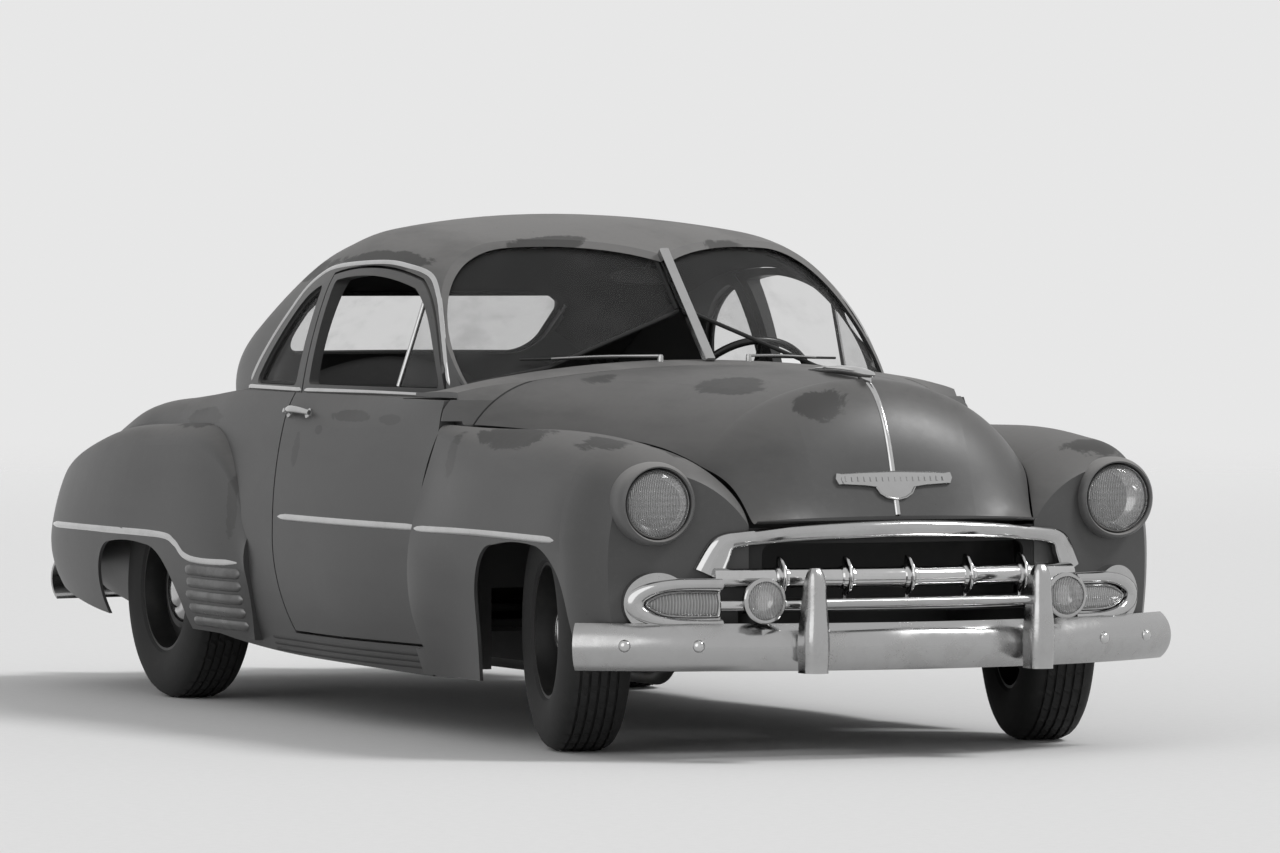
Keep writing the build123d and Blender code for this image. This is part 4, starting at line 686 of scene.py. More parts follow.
def ribbed_shield(label, side):
    """Gravel shield on the front of the rear fender, with pressed ribs."""
    node = f"rear_fender_{label}"
    ribs = []
    for n, z in enumerate(RIB_HEIGHTS):
        start = -0.412 - 0.003 * n
        rear = -0.80 if z < 0.36 else -0.775
        seats = side_seats(node, side, [(start, z), (-0.55, z + 0.001), (rear, z + 0.003)])
        ribs.append(moulding(seats, 0.017, 0.009, 0.06))
    make_piece(f"gravel_shield_{label}", merged(*ribs), shield_metal)


def rocker_ribs(label, side):
    """Ribbed strips on the rocker under the door."""
    strips = []
    for z in ROCKER_HEIGHTS:
        seats = side_seats("cab_lower", side, [(-0.30, z), (0.25, z - 0.001), (0.85, z - 0.004)])
        strips.append(moulding(seats, 0.006, 0.004, 0.02))
    make_piece(f"rocker_ribs_{label}", merged(*strips), rocker_black)


for build in (vent_frame, door_handle, ribbed_shield, rocker_ribs):
    for label, side in SIDES:
        build(label, side)

# Hood: centre strip down the nose and a blank badge
NOSE = [
    (2.085, 1.034), (2.120, 1.012), (2.145, 0.988), (2.182, 0.941), (2.212, 0.878), (2.240, 0.806),
    (2.262, 0.733), (2.276, 0.680), (2.281, 0.662),
]
NOSE_SLOPE = Vector((0.75, 0, 0.66))
nose_path = flowing([(x, 0, z) for x, z in NOSE], 6)
nose_seats = [hit("hood", p + NOSE_SLOPE * 0.4, -NOSE_SLOPE) for p in nose_path]
nose_strip = moulding([seat for seat in nose_seats if seat], 0.009, 0.008, 0.04)
make_piece("hood_centre_strip", nose_strip, bright, "hood")


def nose_point(y, z, lift):
    """Point on the hood's nose, lifted off it."""
    spot, out = hit("hood", (2.8, y, z), (-1, 0, 0))
    return spot + out * lift


BADGE_HALF = [
    (0.120, 0.782), (0.176, 0.779), (0.180, 0.764), (0.172, 0.749), (0.100, 0.745), (0.062, 0.740),
    (0.050, 0.722), (0.030, 0.710),
]
BADGE_MIDDLE = 0.758
BADGE_LAYERS = ((1.0, 0.0), (0.985, 0.008), (0.93, 0.010), (0.89, 0.0065), (0.6, 0.0072))
BADGE_PITCH = 0.0185


def blank_badge():
    """Winged badge on the nose, left blank."""
    outline = [(0.0, 0.785), *BADGE_HALF, (0.0, 0.704), *[(-y, z) for y, z in BADGE_HALF[::-1]]]
    points = []
    for scale, lift in BADGE_LAYERS:
        ring = [(y * scale, BADGE_MIDDLE + (z - BADGE_MIDDLE) * scale) for y, z in outline]
        points += [nose_point(y, z, lift) for y, z in ring]
    n, last = len(outline), len(points)
    points.append(nose_point(0.0, BADGE_MIDDLE, 0.008))
    faces = ring_faces(len(BADGE_LAYERS), n)
    faces += [(last - n + k, last - n + (k + 1) % n, last) for k in range(n)]
    bars = []
    for k in range(-8, 9):
        path = [nose_point(BADGE_PITCH * k, z, 0.0085) for z in (0.757, 0.771)]
        bars.append(rod(path, 0.0028, 8))
    make_piece("nose_badge", merged((points, faces), *bars), chrome, "hood", angle=25)


blank_badge()


def swept_body(rows, sides=20):
    """Streamlined solid through ellipses across the car: x, height, half width and half height."""
    points = []
    for x, z, wide, tall in rows:
        points += [Vector((x, wide * c, z + tall * s)) for c, s in circle(sides)]
    return capped(points, sides)


ORNAMENT_BODY = [
    (1.702, 1.057, 0.0015, 0.002), (1.760, 1.059, 0.004, 0.006), (1.840, 1.060, 0.008, 0.010),
    (1.920, 1.060, 0.012, 0.013), (2.000, 1.057, 0.0145, 0.0145), (2.050, 1.054, 0.0145, 0.014),
    (2.090, 1.051, 0.012, 0.012), (2.115, 1.050, 0.008, 0.0085), (2.128, 1.0495, 0.0035, 0.004),
    (2.131, 1.0495, 0.001, 0.001),
]
ORNAMENT_WINGS = [
    (1.800, 1.064, 0.003, 0.0015), (1.850, 1.066, 0.024, 0.0028), (1.905, 1.066, 0.034, 0.0035),
    (1.960, 1.064, 0.029, 0.004), (2.020, 1.060, 0.018, 0.004), (2.060, 1.057, 0.006, 0.002),
]
ORNAMENT_NECK = [
    (2.030, 1.046, 0.004, 0.012), (2.060, 1.040, 0.008, 0.016), (2.095, 1.034, 0.007, 0.016),
    (2.106, 1.032, 0.002, 0.014),
]
winged = merged(swept_body(ORNAMENT_BODY), swept_body(ORNAMENT_WINGS), swept_body(ORNAMENT_NECK, 12))
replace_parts(make_piece("winged_ornament", winged, bright, "hood"), "hood_ornament")


# Grille and parking lamps: bars and pressed bands on upright drums, each given by its axis and radius
ARCH_DRUM = (0.424, 1.900)
TOOTH_DRUM = (0.768, 1.578)
LOWER_DRUM = (0.788, 1.582)
SURROUND_DRUM = (0.684, 1.702)
FRAME_DRUM = (0.684, 1.696)
LENS_DRUM = (0.684, 1.694)


def drum_point(y, z, drum, lift=0.0):
    """Point on a drum's front, lifted off it."""
    axis_x, radius = drum
    return Vector((axis_x + math.sqrt((radius + lift) ** 2 - y ** 2), y, z))


def ribbon(path, drum, profile, side=1, smooth=5):
    """Pressed band on a drum: path is y, height and half width; profile is share across and lift."""
    spots = flowing(path, smooth)
    last = len(spots) - 1
    points = []
    for i, spot in enumerate(spots):
        ahead = spots[min(i + 1, last)] - spots[max(i - 1, 0)]
        over_y, over_z = Vector((-ahead.y, ahead.x)).normalized()
        for share, lift in profile:
            reach = spot.z * share
            point = drum_point(spot.x + over_y * reach, spot.y + over_z * reach, drum, lift)
            points.append(Vector((point.x, point.y * side, point.z)))
    return points, ring_faces(len(spots), len(profile), closed=False)


ARCH_HALF = [
    (0.0, 0.630, 0.0215), (0.150, 0.627, 0.0215), (0.300, 0.620, 0.0205), (0.400, 0.612, 0.0200),
    (0.460, 0.606, 0.0200), (0.498, 0.600, 0.0230), (0.519, 0.585, 0.0300), (0.531, 0.563, 0.0340),
    (0.544, 0.536, 0.0360), (0.557, 0.509, 0.0370),
]
GUTTER = [
    (-1.0, -0.016), (-1.0, -0.002), (-0.96, 0.003), (-0.88, 0.004), (-0.80, 0.001), (-0.72, 0.0),
    (-0.3, 0.004), (0.2, 0.005), (0.7, 0.002), (0.92, -0.003), (1.0, -0.010), (1.0, -0.020),
]
arch_path = [(-y, z, half) for y, z, half in ARCH_HALF[:0:-1]] + ARCH_HALF
arch = make_piece("grille_arch", ribbon(arch_path, ARCH_DRUM, GUTTER), chrome, angle=50)
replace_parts(arch, "grille_bars")

BAR_HALF = 0.541
TOOTH_BAR_Z = 0.499
LOWER_BAR_Z = 0.425
TOOTH_ROWS = [
    (0.448, -0.008, 0.006, 0.003), (0.454, -0.002, 0.017, 0.006), (0.472, 0.006, 0.030, 0.009),
    (0.500, 0.009, 0.036, 0.011), (0.528, 0.006, 0.032, 0.009), (0.547, -0.002, 0.021, 0.007),
    (0.556, -0.009, 0.011, 0.004), (0.558, -0.011, 0.005, 0.002),
]
TOOTH_COLLAR = [(0.026, -0.021), (0.031, -0.017), (0.0335, 0.0), (0.031, 0.017), (0.026, 0.021)]


def round_bar(drum, z, thick):
    """Round bar along a drum."""
    return rod([drum_point(BAR_HALF * k / 20, z, drum) for k in range(-20, 21)], thick, 20)


def grille_tooth(y):
    """Fin with a collar round the tooth bar, and its strut to the lower bar."""
    centre = drum_point(y, TOOTH_BAR_Z, TOOTH_DRUM)
    points = []
    for z, shift, deep, wide in TOOTH_ROWS:
        points += [Vector((centre.x + shift + deep * c, y + wide * s, z)) for c, s in circle(24)]
    collar = turned(TOOTH_COLLAR, centre, (0, 1, 0), 28)
    strut = rod([(centre.x - 0.012, y, 0.428), (centre.x - 0.012, y, 0.494)], 0.006, 10)
    return merged(capped(points, 24), collar, strut)


make_piece("grille_tooth_bar", round_bar(TOOTH_DRUM, TOOTH_BAR_Z, 0.0275), bright)
make_piece("grille_lower_bar", round_bar(LOWER_DRUM, LOWER_BAR_Z, 0.0155), bright)
make_piece("grille_teeth", merged(*[grille_tooth(n * 0.184) for n in range(-2, 3)]), bright)

SURROUND = [
    (0.541, 0.485, 0.015), (0.600, 0.485, 0.015), (0.660, 0.484, 0.016), (0.715, 0.474, 0.018),
    (0.752, 0.455, 0.021), (0.765, 0.432, 0.023), (0.752, 0.408, 0.021), (0.715, 0.388, 0.016),
    (0.660, 0.378, 0.013), (0.600, 0.376, 0.012), (0.541, 0.376, 0.012),
]
LENS_EDGE = [
    (0.546, 0.430), (0.547, 0.458), (0.560, 0.463), (0.640, 0.463), (0.690, 0.456), (0.722, 0.440),
    (0.730, 0.430), (0.722, 0.419), (0.690, 0.402), (0.640, 0.396), (0.560, 0.396), (0.547, 0.401),
    (0.546, 0.430),
]
DOME = [
    (-1.0, -0.004), (-0.9, 0.005), (-0.55, 0.010), (0.0, 0.0125), (0.55, 0.010), (0.9, 0.005), (1.0, -0.004),
]
BEAD = [(-1.0, -0.004), (-0.8, 0.003), (0.0, 0.006), (0.8, 0.003), (1.0, -0.004)]
for label, side in SIDES:
    surround = ribbon(SURROUND, SURROUND_DRUM, DOME, side)
    lens_frame = ribbon([(y, z, 0.005) for y, z in LENS_EDGE], FRAME_DRUM, BEAD, side, 3)
    make_piece(f"parking_surround_{label}", merged(surround, lens_frame), chrome, angle=60)


# Lamps: each part has its name, steps round, finish, slot and turned profile, the foremost part first
HEADLAMP = [
    ("bezel", 72, bezel_paint, "body_paint", [
        (0.096, -0.030), (0.099, -0.006), (0.103, -0.002), (0.108, -0.006), (0.1125, -0.014),
        (0.115, -0.030), (0.1145, -0.060), (0.108, -0.110), (0.100, -0.114),
    ]),
    ("ring", 72, bright, "chrome", [
        (0.089, -0.024), (0.0885, -0.010), (0.091, -0.006), (0.0945, -0.010), (0.096, -0.024),
    ]),
    ("bowl", 48, reflector, "chrome", [
        (0.0, -0.085), (0.030, -0.080), (0.060, -0.062), (0.080, -0.036), (0.089, -0.020),
    ]),
    ("glass", 72, lamp_glass, "window_glass", [
        (0.0, 0.008), (0.022, 0.0073), (0.045, 0.004), (0.066, -0.002), (0.082, -0.010), (0.089, -0.016),
    ]),
    ("seal", 72, seam_black, "body_paint", [(0.0945, -0.020), (0.097, -0.034), (0.100, -0.020)]),
]
FOG_LAMP = [
    ("shell", 56, chrome, "chrome", [
        (0.0, -0.078), (0.018, -0.076), (0.034, -0.069), (0.046, -0.056), (0.054, -0.038), (0.058, -0.020),
        (0.0605, -0.017), (0.063, -0.013), (0.063, -0.004), (0.060, 0.000), (0.053, 0.001), (0.051, -0.004),
    ]),
    ("bowl", 40, reflector, "chrome", [(0.0, -0.050), (0.026, -0.044), (0.044, -0.026), (0.051, -0.006)]),
    ("glass", 56, lamp_glass, "window_glass", [
        (0.0, 0.009), (0.018, 0.0078), (0.034, 0.0045), (0.046, 0.000), (0.0515, -0.003),
    ]),
]
TAIL_LAMP = [
    ("ring", 48, bright, "chrome", [
        (0.034, 0.014), (0.0365, 0.017), (0.040, 0.014), (0.042, 0.010), (0.041, 0.0), (0.036, 0.0),
    ]),
    ("lens", 48, tail_red, "tail_lens", [
        (0.0, 0.028), (0.012, 0.026), (0.024, 0.0215), (0.032, 0.016), (0.0355, 0.012),
    ]),
]


def lamp(kind, label, parts, centre, facing):
    """A lamp of turned parts; gives back its first piece."""
    pieces = []
    for part, steps, finish, slot, profile in parts:
        shape = turned(profile, centre, (facing, 0, 0), steps)
        pieces.append(make_piece(f"{kind}_{part}_{label}", shape, finish))
    return pieces[0]


for label, side in SIDES:
    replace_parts(lamp("headlamp", label, HEADLAMP, (2.245, side * 0.704, 0.703), 1), "headlamps")
    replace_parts(lamp("fog", label, FOG_LAMP, (2.405, side * 0.459, 0.442), 1), "fog_lamps")
    stalk = [(2.341, side * 0.443, 0.362), (2.345, side * 0.445, 0.385), (2.356, side * 0.450, 0.408)]
    make_piece(f"fog_stalk_{label}", rod(flowing(stalk, 5), 0.008), chassis_black)
    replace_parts(lamp("tail", label, TAIL_LAMP, (-2.300, side * 0.682, 0.478), -1), "tail_lamps")


# Wheels
def hub_facts(corner):
    """A wheel's centre and its axle direction, outboard, from its joint."""
    joint = next(j for j in frame["record"]["behaviour"]["joints"] if j["name"] == f"roll_{corner}")
    axis = Vector(joint["axis"]).normalized()
    centre = Vector(joint["pos_m"])
    return centre, axis if centre.y > 0 else -axis


TYRE_R = 0.336
WALL = [
    (0.190, 0.082), (0.197, 0.090), (0.215, 0.0965), (0.240, 0.1005), (0.262, 0.101), (0.285, 0.098),
    (0.306, 0.0915), (0.319, 0.084), (0.3265, 0.076), (0.3300, 0.068),
]
GROOVES = (0.052, 0.026, 0.0, -0.026, -0.052)
GROOVE_DEPTH = 0.0075
RIB_PITCH = 0.0264
BLOCK_HALF = 0.066
BLOCK_R = 0.3285
SIPE_DEPTH = 0.005
TYRE_STEPS = 216


def tyre_profile():
    """Section of the tyre from the outer bead round the tread to the inner bead."""
    tread = []
    for g in GROOVES:
        crown = TYRE_R - 0.25 * g * g
        foot = crown - GROOVE_DEPTH
        tread += [(crown, g + 0.0042), (foot, g + 0.003), (foot, g - 0.003), (crown, g - 0.0042)]
    return WALL + tread + [(r, -along) for r, along in reversed(WALL)]


def tyre(corner):
    """Ribbed tyre whose ribs are cut into blocks by slanted sipes."""
    centre, axis = hub_facts(corner)
    axis, side, rise = axes_for(axis)
    profile = tyre_profile()
    points = []
    for r, along in profile:
        row = math.floor((along + BLOCK_HALF) / RIB_PITCH)
        block = r > BLOCK_R and abs(along) < BLOCK_HALF
        for k in range(TYRE_STEPS):
            depth = SIPE_DEPTH if block and (k + 2 * row) % 6 == 0 else 0.0
            turn = 2 * math.pi * (k + along * 60) / TYRE_STEPS
            out = side * math.cos(turn) + rise * math.sin(turn)
            points.append(centre + axis * along + out * (r - depth))
    shape = (points, ring_faces(len(profile), TYRE_STEPS))
    piece = make_piece(f"tyre_{corner}_tread", shape, rubber, f"road_{corner}", 28)
    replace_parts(piece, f"tyre_{corner}")


CAP_SEAT = -0.004


def hub_cap(corner):
    """Small domed cap with a stepped middle."""
    centre, axis = hub_facts(corner)
    profile = [
        (0.0, 0.066), (0.014, 0.0655), (0.030, 0.0635), (0.044, 0.060), (0.052, 0.0565), (0.055, 0.052),
        (0.059, 0.0505), (0.070, 0.0495), (0.085, 0.0465), (0.097, 0.040), (0.104, 0.034), (0.107, 0.030),
        (0.104, 0.028),
    ]
    shape = turned([(r, along + CAP_SEAT) for r, along in profile], centre, axis, 72)
    cap = make_piece(f"cap_{corner}", shape, bright, f"road_{corner}", angle=40)
    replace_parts(cap, f"hubcap_{corner}")


for corner in ("front_left", "front_right", "rear_left", "rear_right"):
    tyre(corner)
    hub_cap(corner)


# Windshield: wipers, mirror and pane seals
PANE_FOOT = Vector((1.022, 0, 1.075))
PANE_HEAD = Vector((0.698, 0, 1.386))
PANE_HALF = 0.632
COWL_X = 1.000
MIRROR_SEAT = Vector((0.640, 0, 1.395))
MIRROR_BACK = Vector((0.560, 0, 1.315))
MIRROR_LAYERS = ((0.014, 0.80), (0.010, 0.94), (0.0, 1.0), (-0.006, 0.98), (-0.008, 0.93))
SPINDLE = [(0.0, 0.020), (0.006, 0.020), (0.008, 0.014), (0.009, 0.0), (0.014, -0.002)]


def pane_corner(side):
    """Lower outer corner of one windshield pane."""
    return Vector((0.810, side * PANE_HALF, 1.026))


def pane_out(side):
    """Outward direction of one windshield pane."""
    normal = (PANE_HEAD - PANE_FOOT).cross(pane_corner(side) - PANE_FOOT).normalized()
    return normal if normal.x > 0 else -normal


def foot_of_glass(y, up):
    """Point on the pane plane at y, a distance up from the cowl."""
    corner = pane_corner(1 if y > 0 else -1)
    rise = (PANE_HEAD - PANE_FOOT).normalized()
    return PANE_FOOT + (corner - PANE_FOOT) * (abs(y) / PANE_HALF) + rise * (up + 0.012)


def wiper(label, start, reach):
    """Wiper: spindle, arm and blade along the foot of the glass."""
    end = start + reach
    seat, _ = hit("cab_upper", (COWL_X, start, 2.0), (0, 0, -1))
    spindle = turned(SPINDLE, seat, (0, 0, 1), 20)
    out = pane_out(1 if end > 0 else -1)
    tip = foot_of_glass(end, 0.030) + out * 0.010
    mid = foot_of_glass((start + end) / 2, 0.022) + out * 0.012
    arm = rod(flowing([seat + Vector((0, 0, 0.016)), mid, tip], 6), lambda t: 0.0042 - 0.0016 * t, 8)
    sweep = (0.35, 0.5, 0.7, 0.9, 1.1, 1.3)
    blade = [foot_of_glass(start + reach * t, 0.012 + 0.022 * t) + out * 0.004 for t in sweep]
    make_piece(f"wiper_arm_{label}", merged(spindle, arm), tarnished)
    make_piece(f"wiper_blade_{label}", rod(flowing(blade, 4), 0.0036, 8), seam_black)


wiper("left", 0.14, 0.28)
wiper("right", -0.14, -0.28)


def mirror():
    """Inside mirror hung from the header."""
    halfway = MIRROR_SEAT * 0.5 + MIRROR_BACK * 0.5 + Vector((0.01, 0, 0))
    stem = rod(flowing([MIRROR_SEAT, halfway, MIRROR_BACK], 5), 0.005, 10)
    outline = [
        (0.105 * math.copysign(abs(c) ** 0.6, c), 0.026 * math.copysign(abs(s) ** 0.7, s))
        for c, s in circle(40)
    ]
    points = []
    for x, scale in MIRROR_LAYERS:
        points += [MIRROR_BACK + Vector((x, y * scale, z * scale)) for y, z in outline]
    shape = merged(stem, capped(points, len(outline)))
    make_piece("inside_mirror", shape, chassis_black, angle=40)


mirror()


def parking_glass(label, side):
    """Lens in the parking lamp's housing."""
    points = []
    for k in range(17):
        y = 0.549 + 0.178 * k / 16
        round_end = max(0.0, (y - 0.645) / 0.083)
        half = 0.032 * math.sqrt(max(0.002, 1 - round_end ** 2))
        face = drum_point(y, 0, LENS_DRUM).x
        for j in range(7):
            x = face + 0.007 * math.cos(math.pi * (j / 6 - 0.5))
            points.append((x, side * y, 0.4295 + half * (j / 3 - 1)))
    shape = (points, ring_faces(17, 7, closed=False))
    piece = make_piece(f"parking_glass_{label}", shape, marker_glass)
    piece.modifiers.new("thickness", "SOLIDIFY").thickness = 0.004


for label, side in SIDES:
    parking_glass(label, side)

# Bumper bolts
BOLT = [(0.0, 0.011), (0.006, 0.0105), (0.012, 0.008), (0.016, 0.003), (0.0175, -0.002)]
for y in (0.80, 0.62, -0.62, -0.80):
    spot, out = hit("front_bumper", (3.2, y, 0.318), (-1, 0, 0))
    title = f"bumper_bolt_{'left' if y > 0 else 'right'}_{int(abs(y) * 100)}"
    make_piece(title, turned(BOLT, spot, out, 28), bright)


def hull_of(spots):
    """Convex outline of flat points, going round once."""
    spots = sorted(set(spots))

    def half_of(row):
        chain = []
        for p in row:
            while len(chain) > 1:
                (ax, ay), (bx, by) = chain[-2], chain[-1]
                if (bx - ax) * (p[1] - ay) - (by - ay) * (p[0] - ax) > 1e-12:
                    break
                chain.pop()
            chain.append(p)
        return chain[:-1]

    return half_of(spots) + half_of(spots[::-1])


def gasket(node, outward, half, radius):
    """Rubber bead round a pane's outer edge; half is the side of the car it lies on, or 0 for both."""
    outward, side, rise = axes_for(outward)
    corners = [v.co for v in frame["nodes"][node].data.vertices if v.co.y * half > 0 or not half]
    middle = sum(corners, Vector()) / len(corners)
    path = []
    for a, b in hull_of([(round(c.dot(side), 5), round(c.dot(rise), 5)) for c in corners]):
        inward = (Vector((middle.dot(side), middle.dot(rise))) - Vector((a, b))).normalized() * 0.004
        start = side * (a + inward.x) + rise * (b + inward.y) + outward * (middle.dot(outward) + 0.5)
        found = hit(node, start, -outward)
        if found:
            path.append(found[0])
    return rod(path + path[:1], radius, 8)


PANES = [
    ("windshield_bead_left", "windshield", pane_out(1), 1, 0.0065),
    ("windshield_bead_right", "windshield", pane_out(-1), -1, 0.0065),
    ("quarter_bead_left", "quarter_glass", (0, 1, 0), 1, 0.007),
    ("quarter_bead_right", "quarter_glass", (0, -1, 0), -1, 0.007),
    ("rear_window_bead", "rear_window", (-0.75, 0, 0.66), 0, 0.008),
]
for title, node, outward, half, radius in PANES:
    make_piece(title, gasket(node, outward, half, radius), seam_black)


# Cabin
LINING_REACH = 0.9


def lining(node, start, heading, across, along, counts, gap):
    """Sheet laid just inside a panel: rays from a grid of starts find the panel's inner face."""
    start, heading, across, along = (Vector(v) for v in (start, heading, across, along))
    grid = []
    for i in range(counts[0] + 1):
        for k in range(counts[1] + 1):
            origin = start + along * (i / counts[0]) + across * (k / counts[1])
            found = hit(node, origin, heading)
            near = found and (found[0] - origin).length < LINING_REACH
            grid.append(found[0] - heading * gap if near else None)
    faces = ring_faces(counts[0] + 1, counts[1] + 1, closed=False)
    faces = [face for face in faces if all(grid[k] is not None for k in face)]
    used = sorted({k for face in faces for k in face})
    place = {k: n for n, k in enumerate(used)}
    return [grid[k] for k in used], [tuple(place[k] for k in face) for face in faces]


inside = lining("cab_upper", (-1.10, -0.62, 1.02), (0, 0, 1), (0, 1.24, 0), (1.75, 0, 0), (70, 48), 0.006)
make_piece("headliner", inside, headliner)
for label, side in SIDES:
    door, start = f"door_{label}", (-0.09, side * 0.30, 0.40)
    card = lining(door, start, (0, side, 0), (0, 0, 0.52), (1.00, 0, 0), (40, 24), 0.005)
    make_piece(f"door_card_{label}", card, leather, door)


def cushion(name, size, centre, tilt, channels, replaced=None):
    """Padded bench cushion with sewn channels, crowned between its seams."""
    length, width, thick = size
    across, along = 96, 28
    points = []
    turn = Matrix.Rotation(math.radians(tilt), 3, "Y")
    for layer in (1, -1):
        for i in range(along + 1):
            u = i / along * 2 - 1
            for j in range(across + 1):
                v = j / across * 2 - 1
                edge = (1 - abs(u) ** 4) ** 0.5 * (1 - abs(v) ** 8) ** 0.5
                puff = 0.5 * thick * (0.35 + 0.65 * edge) if edge > 0 else 0.0
                if layer > 0:
                    seam = abs(math.sin(math.pi * channels * (v + 1) / 2))
                    puff *= 0.86 + 0.14 * seam ** 0.5
                else:
                    puff *= 0.8
                spot = Vector((u * length / 2, v * width / 2, layer * puff * min(1.0, edge * 3)))
                points.append(Vector(centre) + turn @ spot)
    half = len(points) // 2
    grid = ring_faces(along + 1, across + 1, closed=False)
    shape = merged((points[:half], grid), (points[half:], grid))
    piece = make_piece(name, shape, leather)
    if replaced:
        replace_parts(piece, replaced)


cushion("front_seat_cushion", (0.60, 1.27, 0.19), (0.315, 0, 0.440), 4, 12, "front_seat")
cushion("front_seat_back", (0.50, 1.27, 0.13), (0.015, 0, 0.685), -74, 12)
cushion("rear_seat_cushion", (0.42, 1.07, 0.15), (-0.640, 0, 0.615), 3, 10, "rear_seat")
cushion("rear_seat_back", (0.34, 1.07, 0.11), (-0.915, 0, 0.785), -68, 10)


WHEEL_CENTRE = Vector((0.480, 0.370, 0.955))
WHEEL_SLOPE = math.radians(34)
WHEEL_HUB = [
    (0.0, 0.022), (0.020, 0.021), (0.030, 0.014), (0.034, 0.004), (0.034, -0.010), (0.022, -0.014),
    (0.0215, -0.0295),
]
SPOKE_BEND = ((0.028, 0.004), (0.08, 0.000), (0.15, -0.002), (0.198, 0.0))


def tube(radius, height, thick, steps):
    """Round profile for turned: a ring of a thickness at a radius and height."""
    turns = [k * math.pi / steps for k in range(2 * steps + 1)]
    return [(radius + thick * math.cos(t), height + thick * math.sin(t)) for t in turns]


def steering_rim():
    """Thin-rimmed wheel with a horn ring and three spokes."""
    axis = Vector((-math.cos(WHEEL_SLOPE), 0, math.sin(WHEEL_SLOPE)))
    rim = turned(tube(0.205, 0.0, 0.0115, 8), WHEEL_CENTRE, axis, 96)
    boss = turned(WHEEL_HUB, WHEEL_CENTRE, axis, 40)
    horn_ring = turned(tube(0.118, 0.010, 0.004, 5), WHEEL_CENTRE, axis, 72)
    _, side, rise = axes_for(axis)
    spokes = []
    for degrees in (0, 180, 270):
        out = side * math.cos(math.radians(degrees)) + rise * math.sin(math.radians(degrees))
        path = [WHEEL_CENTRE + out * r + axis * h for r, h in SPOKE_BEND]
        spokes.append(rod(flowing(path, 4), 0.0065, 10))
    shape = merged(rim, *spokes)
    piece = make_piece("steering_rim", shape, black_plastic, "steering_wheel")
    make_piece("steering_hub", merged(boss, horn_ring), chrome, "steering_wheel")
    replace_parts(piece, "steering_wheel")


steering_rim()


DIAL_R = 0.058
DIAL_RIM = [(DIAL_R - 0.004, 0.002), (DIAL_R, 0.007), (DIAL_R + 0.005, 0.002), (DIAL_R + 0.006, -0.002)]
DIAL_PLATE = [(0.0, 0.0022), (DIAL_R * 0.5, 0.0022), (DIAL_R - 0.003, 0.002)]


def instruments():
    """Two round dials in the dash face."""
    for n, y in enumerate((0.44, 0.30)):
        spot, out = hit("dashboard", (0.30, y, 0.955), (1, 0, 0))
        make_piece(f"dial_ring_{n}", turned(DIAL_RIM, spot, out, 40), bright)
        make_piece(f"dial_plate_{n}", turned(DIAL_PLATE, spot, out, 40), dial)


instruments()

# Stage: pale floor, pale surround and soft light
FLOOR_RINGS = (4, 8, 14, 24, 40, 60)
FLOOR_SIDES = 64
floor_points = [(0, 0, 0)] + [(r * c, r * s, 0) for r in FLOOR_RINGS for c, s in circle(FLOOR_SIDES)]
floor_faces = [(0, 1 + k, 1 + (k + 1) % FLOOR_SIDES) for k in range(FLOOR_SIDES)]
for i in range(len(FLOOR_RINGS) - 1):
    for k in range(FLOOR_SIDES):
        a, b = 1 + i * FLOOR_SIDES + k, 1 + i * FLOOR_SIDES + (k + 1) % FLOOR_SIDES
        floor_faces.append((a, a + FLOOR_SIDES, b + FLOOR_SIDES, b))
floor_mesh = bpy.data.meshes.new("floor")
floor_mesh.from_pydata(floor_points, [], floor_faces)
floor = bpy.data.objects.new("floor", floor_mesh)
bpy.context.collection.objects.link(floor)
f = Finish("pale floor")
speck = f.noise(30, 5, 0.7)
away = f.node("VectorMath", {"operation": "LENGTH"}, {0: f.place}, out="Value")
ground = f.node("BsdfPrincipled", {}, {
    "Base Color": f.mix(speck, grey(0.70), grey(0.78)), "Roughness": 0.85,
    "Normal": f.bump(speck, 0.002, 0.25),
})
open_air = f.node("BsdfTransparent")
f.node_out(f.node("MixShader", {}, {0: away.clamped(11.0, 34.0), 1: ground, 2: open_air}))
floor_mesh.materials.append(f.material)

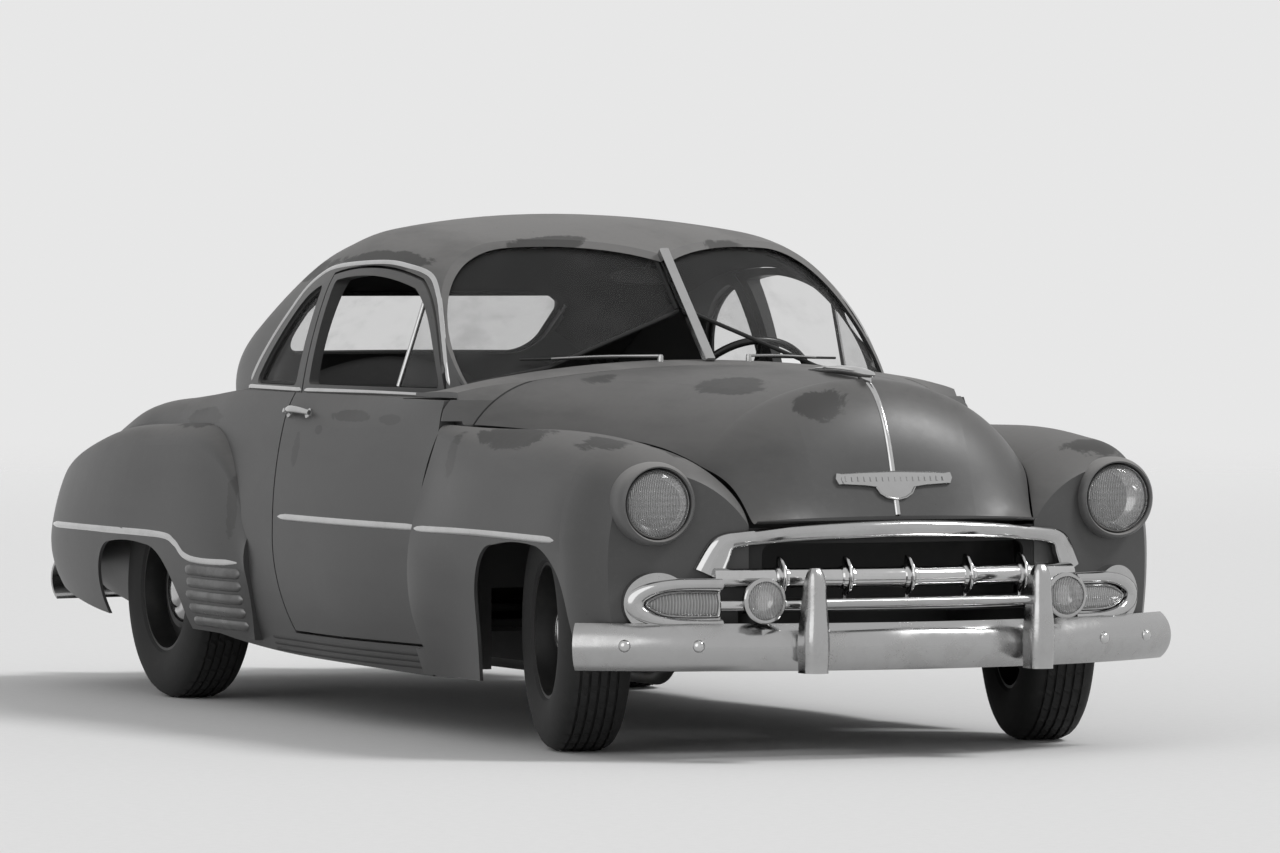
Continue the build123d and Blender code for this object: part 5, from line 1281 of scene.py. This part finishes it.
world = bpy.data.worlds.new("studio")
bpy.context.scene.world = world
world.use_nodes = True
tree = world.node_tree
tree.nodes.clear()
rays = tree.nodes.new("ShaderNodeLightPath")
sky = tree.nodes.new("ShaderNodeMixShader")
for share, tone, strength in ((1, 1.0, 0.50), (2, 0.80, 1.0)):
    surround = tree.nodes.new("ShaderNodeBackground")
    surround.inputs["Color"].default_value = (tone, tone, tone, 1)
    surround.inputs["Strength"].default_value = strength
    tree.links.new(surround.outputs[0], sky.inputs[share])
end = tree.nodes.new("ShaderNodeOutputWorld")
shown = rays.outputs["Is Camera Ray"]
for ray in ("Is Glossy Ray", "Is Transmission Ray"):
    either = tree.nodes.new("ShaderNodeMath")
    either.operation = "MAXIMUM"
    tree.links.new(shown, either.inputs[0])
    tree.links.new(rays.outputs[ray], either.inputs[1])
    shown = either.outputs[0]
tree.links.new(shown, sky.inputs[0])
tree.links.new(sky.outputs[0], end.inputs["Surface"])


def soft_sun(name, heading, energy, spread):
    """Even light from one direction with soft shadows."""
    data = bpy.data.lights.new(name, "SUN")
    data.energy = energy
    data.angle = math.radians(spread)
    lamp = bpy.data.objects.new(name, data)
    bpy.context.collection.objects.link(lamp)
    lamp.rotation_euler = Vector(heading).to_track_quat("-Z", "Y").to_euler()


soft_sun("soft sun", (-0.42, -0.62, -0.80), 1.75, 16)
soft_sun("fill", (-0.45, 0.80, -0.35), 0.55, 50)

bpy.context.scene.view_settings.view_transform = "Standard"

CAMERA_DISTANCE = 24.48883
CAMERA_HEIGHT = 1.43050
CAMERA_ANGLES = (23.6046, 0.51799, -1.33387, 0.06316)
CAMERA_LENS = 229.06


def photo_camera():
    """Camera where the photograph was taken from."""
    around, off, pitch, roll = (math.radians(angle) for angle in CAMERA_ANGLES)
    look = Vector((-math.cos(around + off), math.sin(around + off), 0))
    up = Vector((0, 0, 1))
    ahead = look * math.cos(pitch) + up * math.sin(pitch)
    right = ahead.cross(up).normalized()
    over = right.cross(ahead).normalized()
    side = right * math.cos(roll) + over * math.sin(roll)
    top = over * math.cos(roll) - right * math.sin(roll)
    data = bpy.data.cameras.new("camera")
    data.lens = CAMERA_LENS
    data.sensor_width = 36
    data.clip_end = 200
    camera = bpy.data.objects.new("camera", data)
    bpy.context.collection.objects.link(camera)
    place = Vector((CAMERA_DISTANCE * math.cos(around), -CAMERA_DISTANCE * math.sin(around), CAMERA_HEIGHT))
    camera.matrix_world = Matrix((
        (side.x, top.x, -ahead.x, place.x), (side.y, top.y, -ahead.y, place.y),
        (side.z, top.z, -ahead.z, place.z), (0, 0, 0, 1),
    ))
    bpy.context.scene.camera = camera


photo_camera()
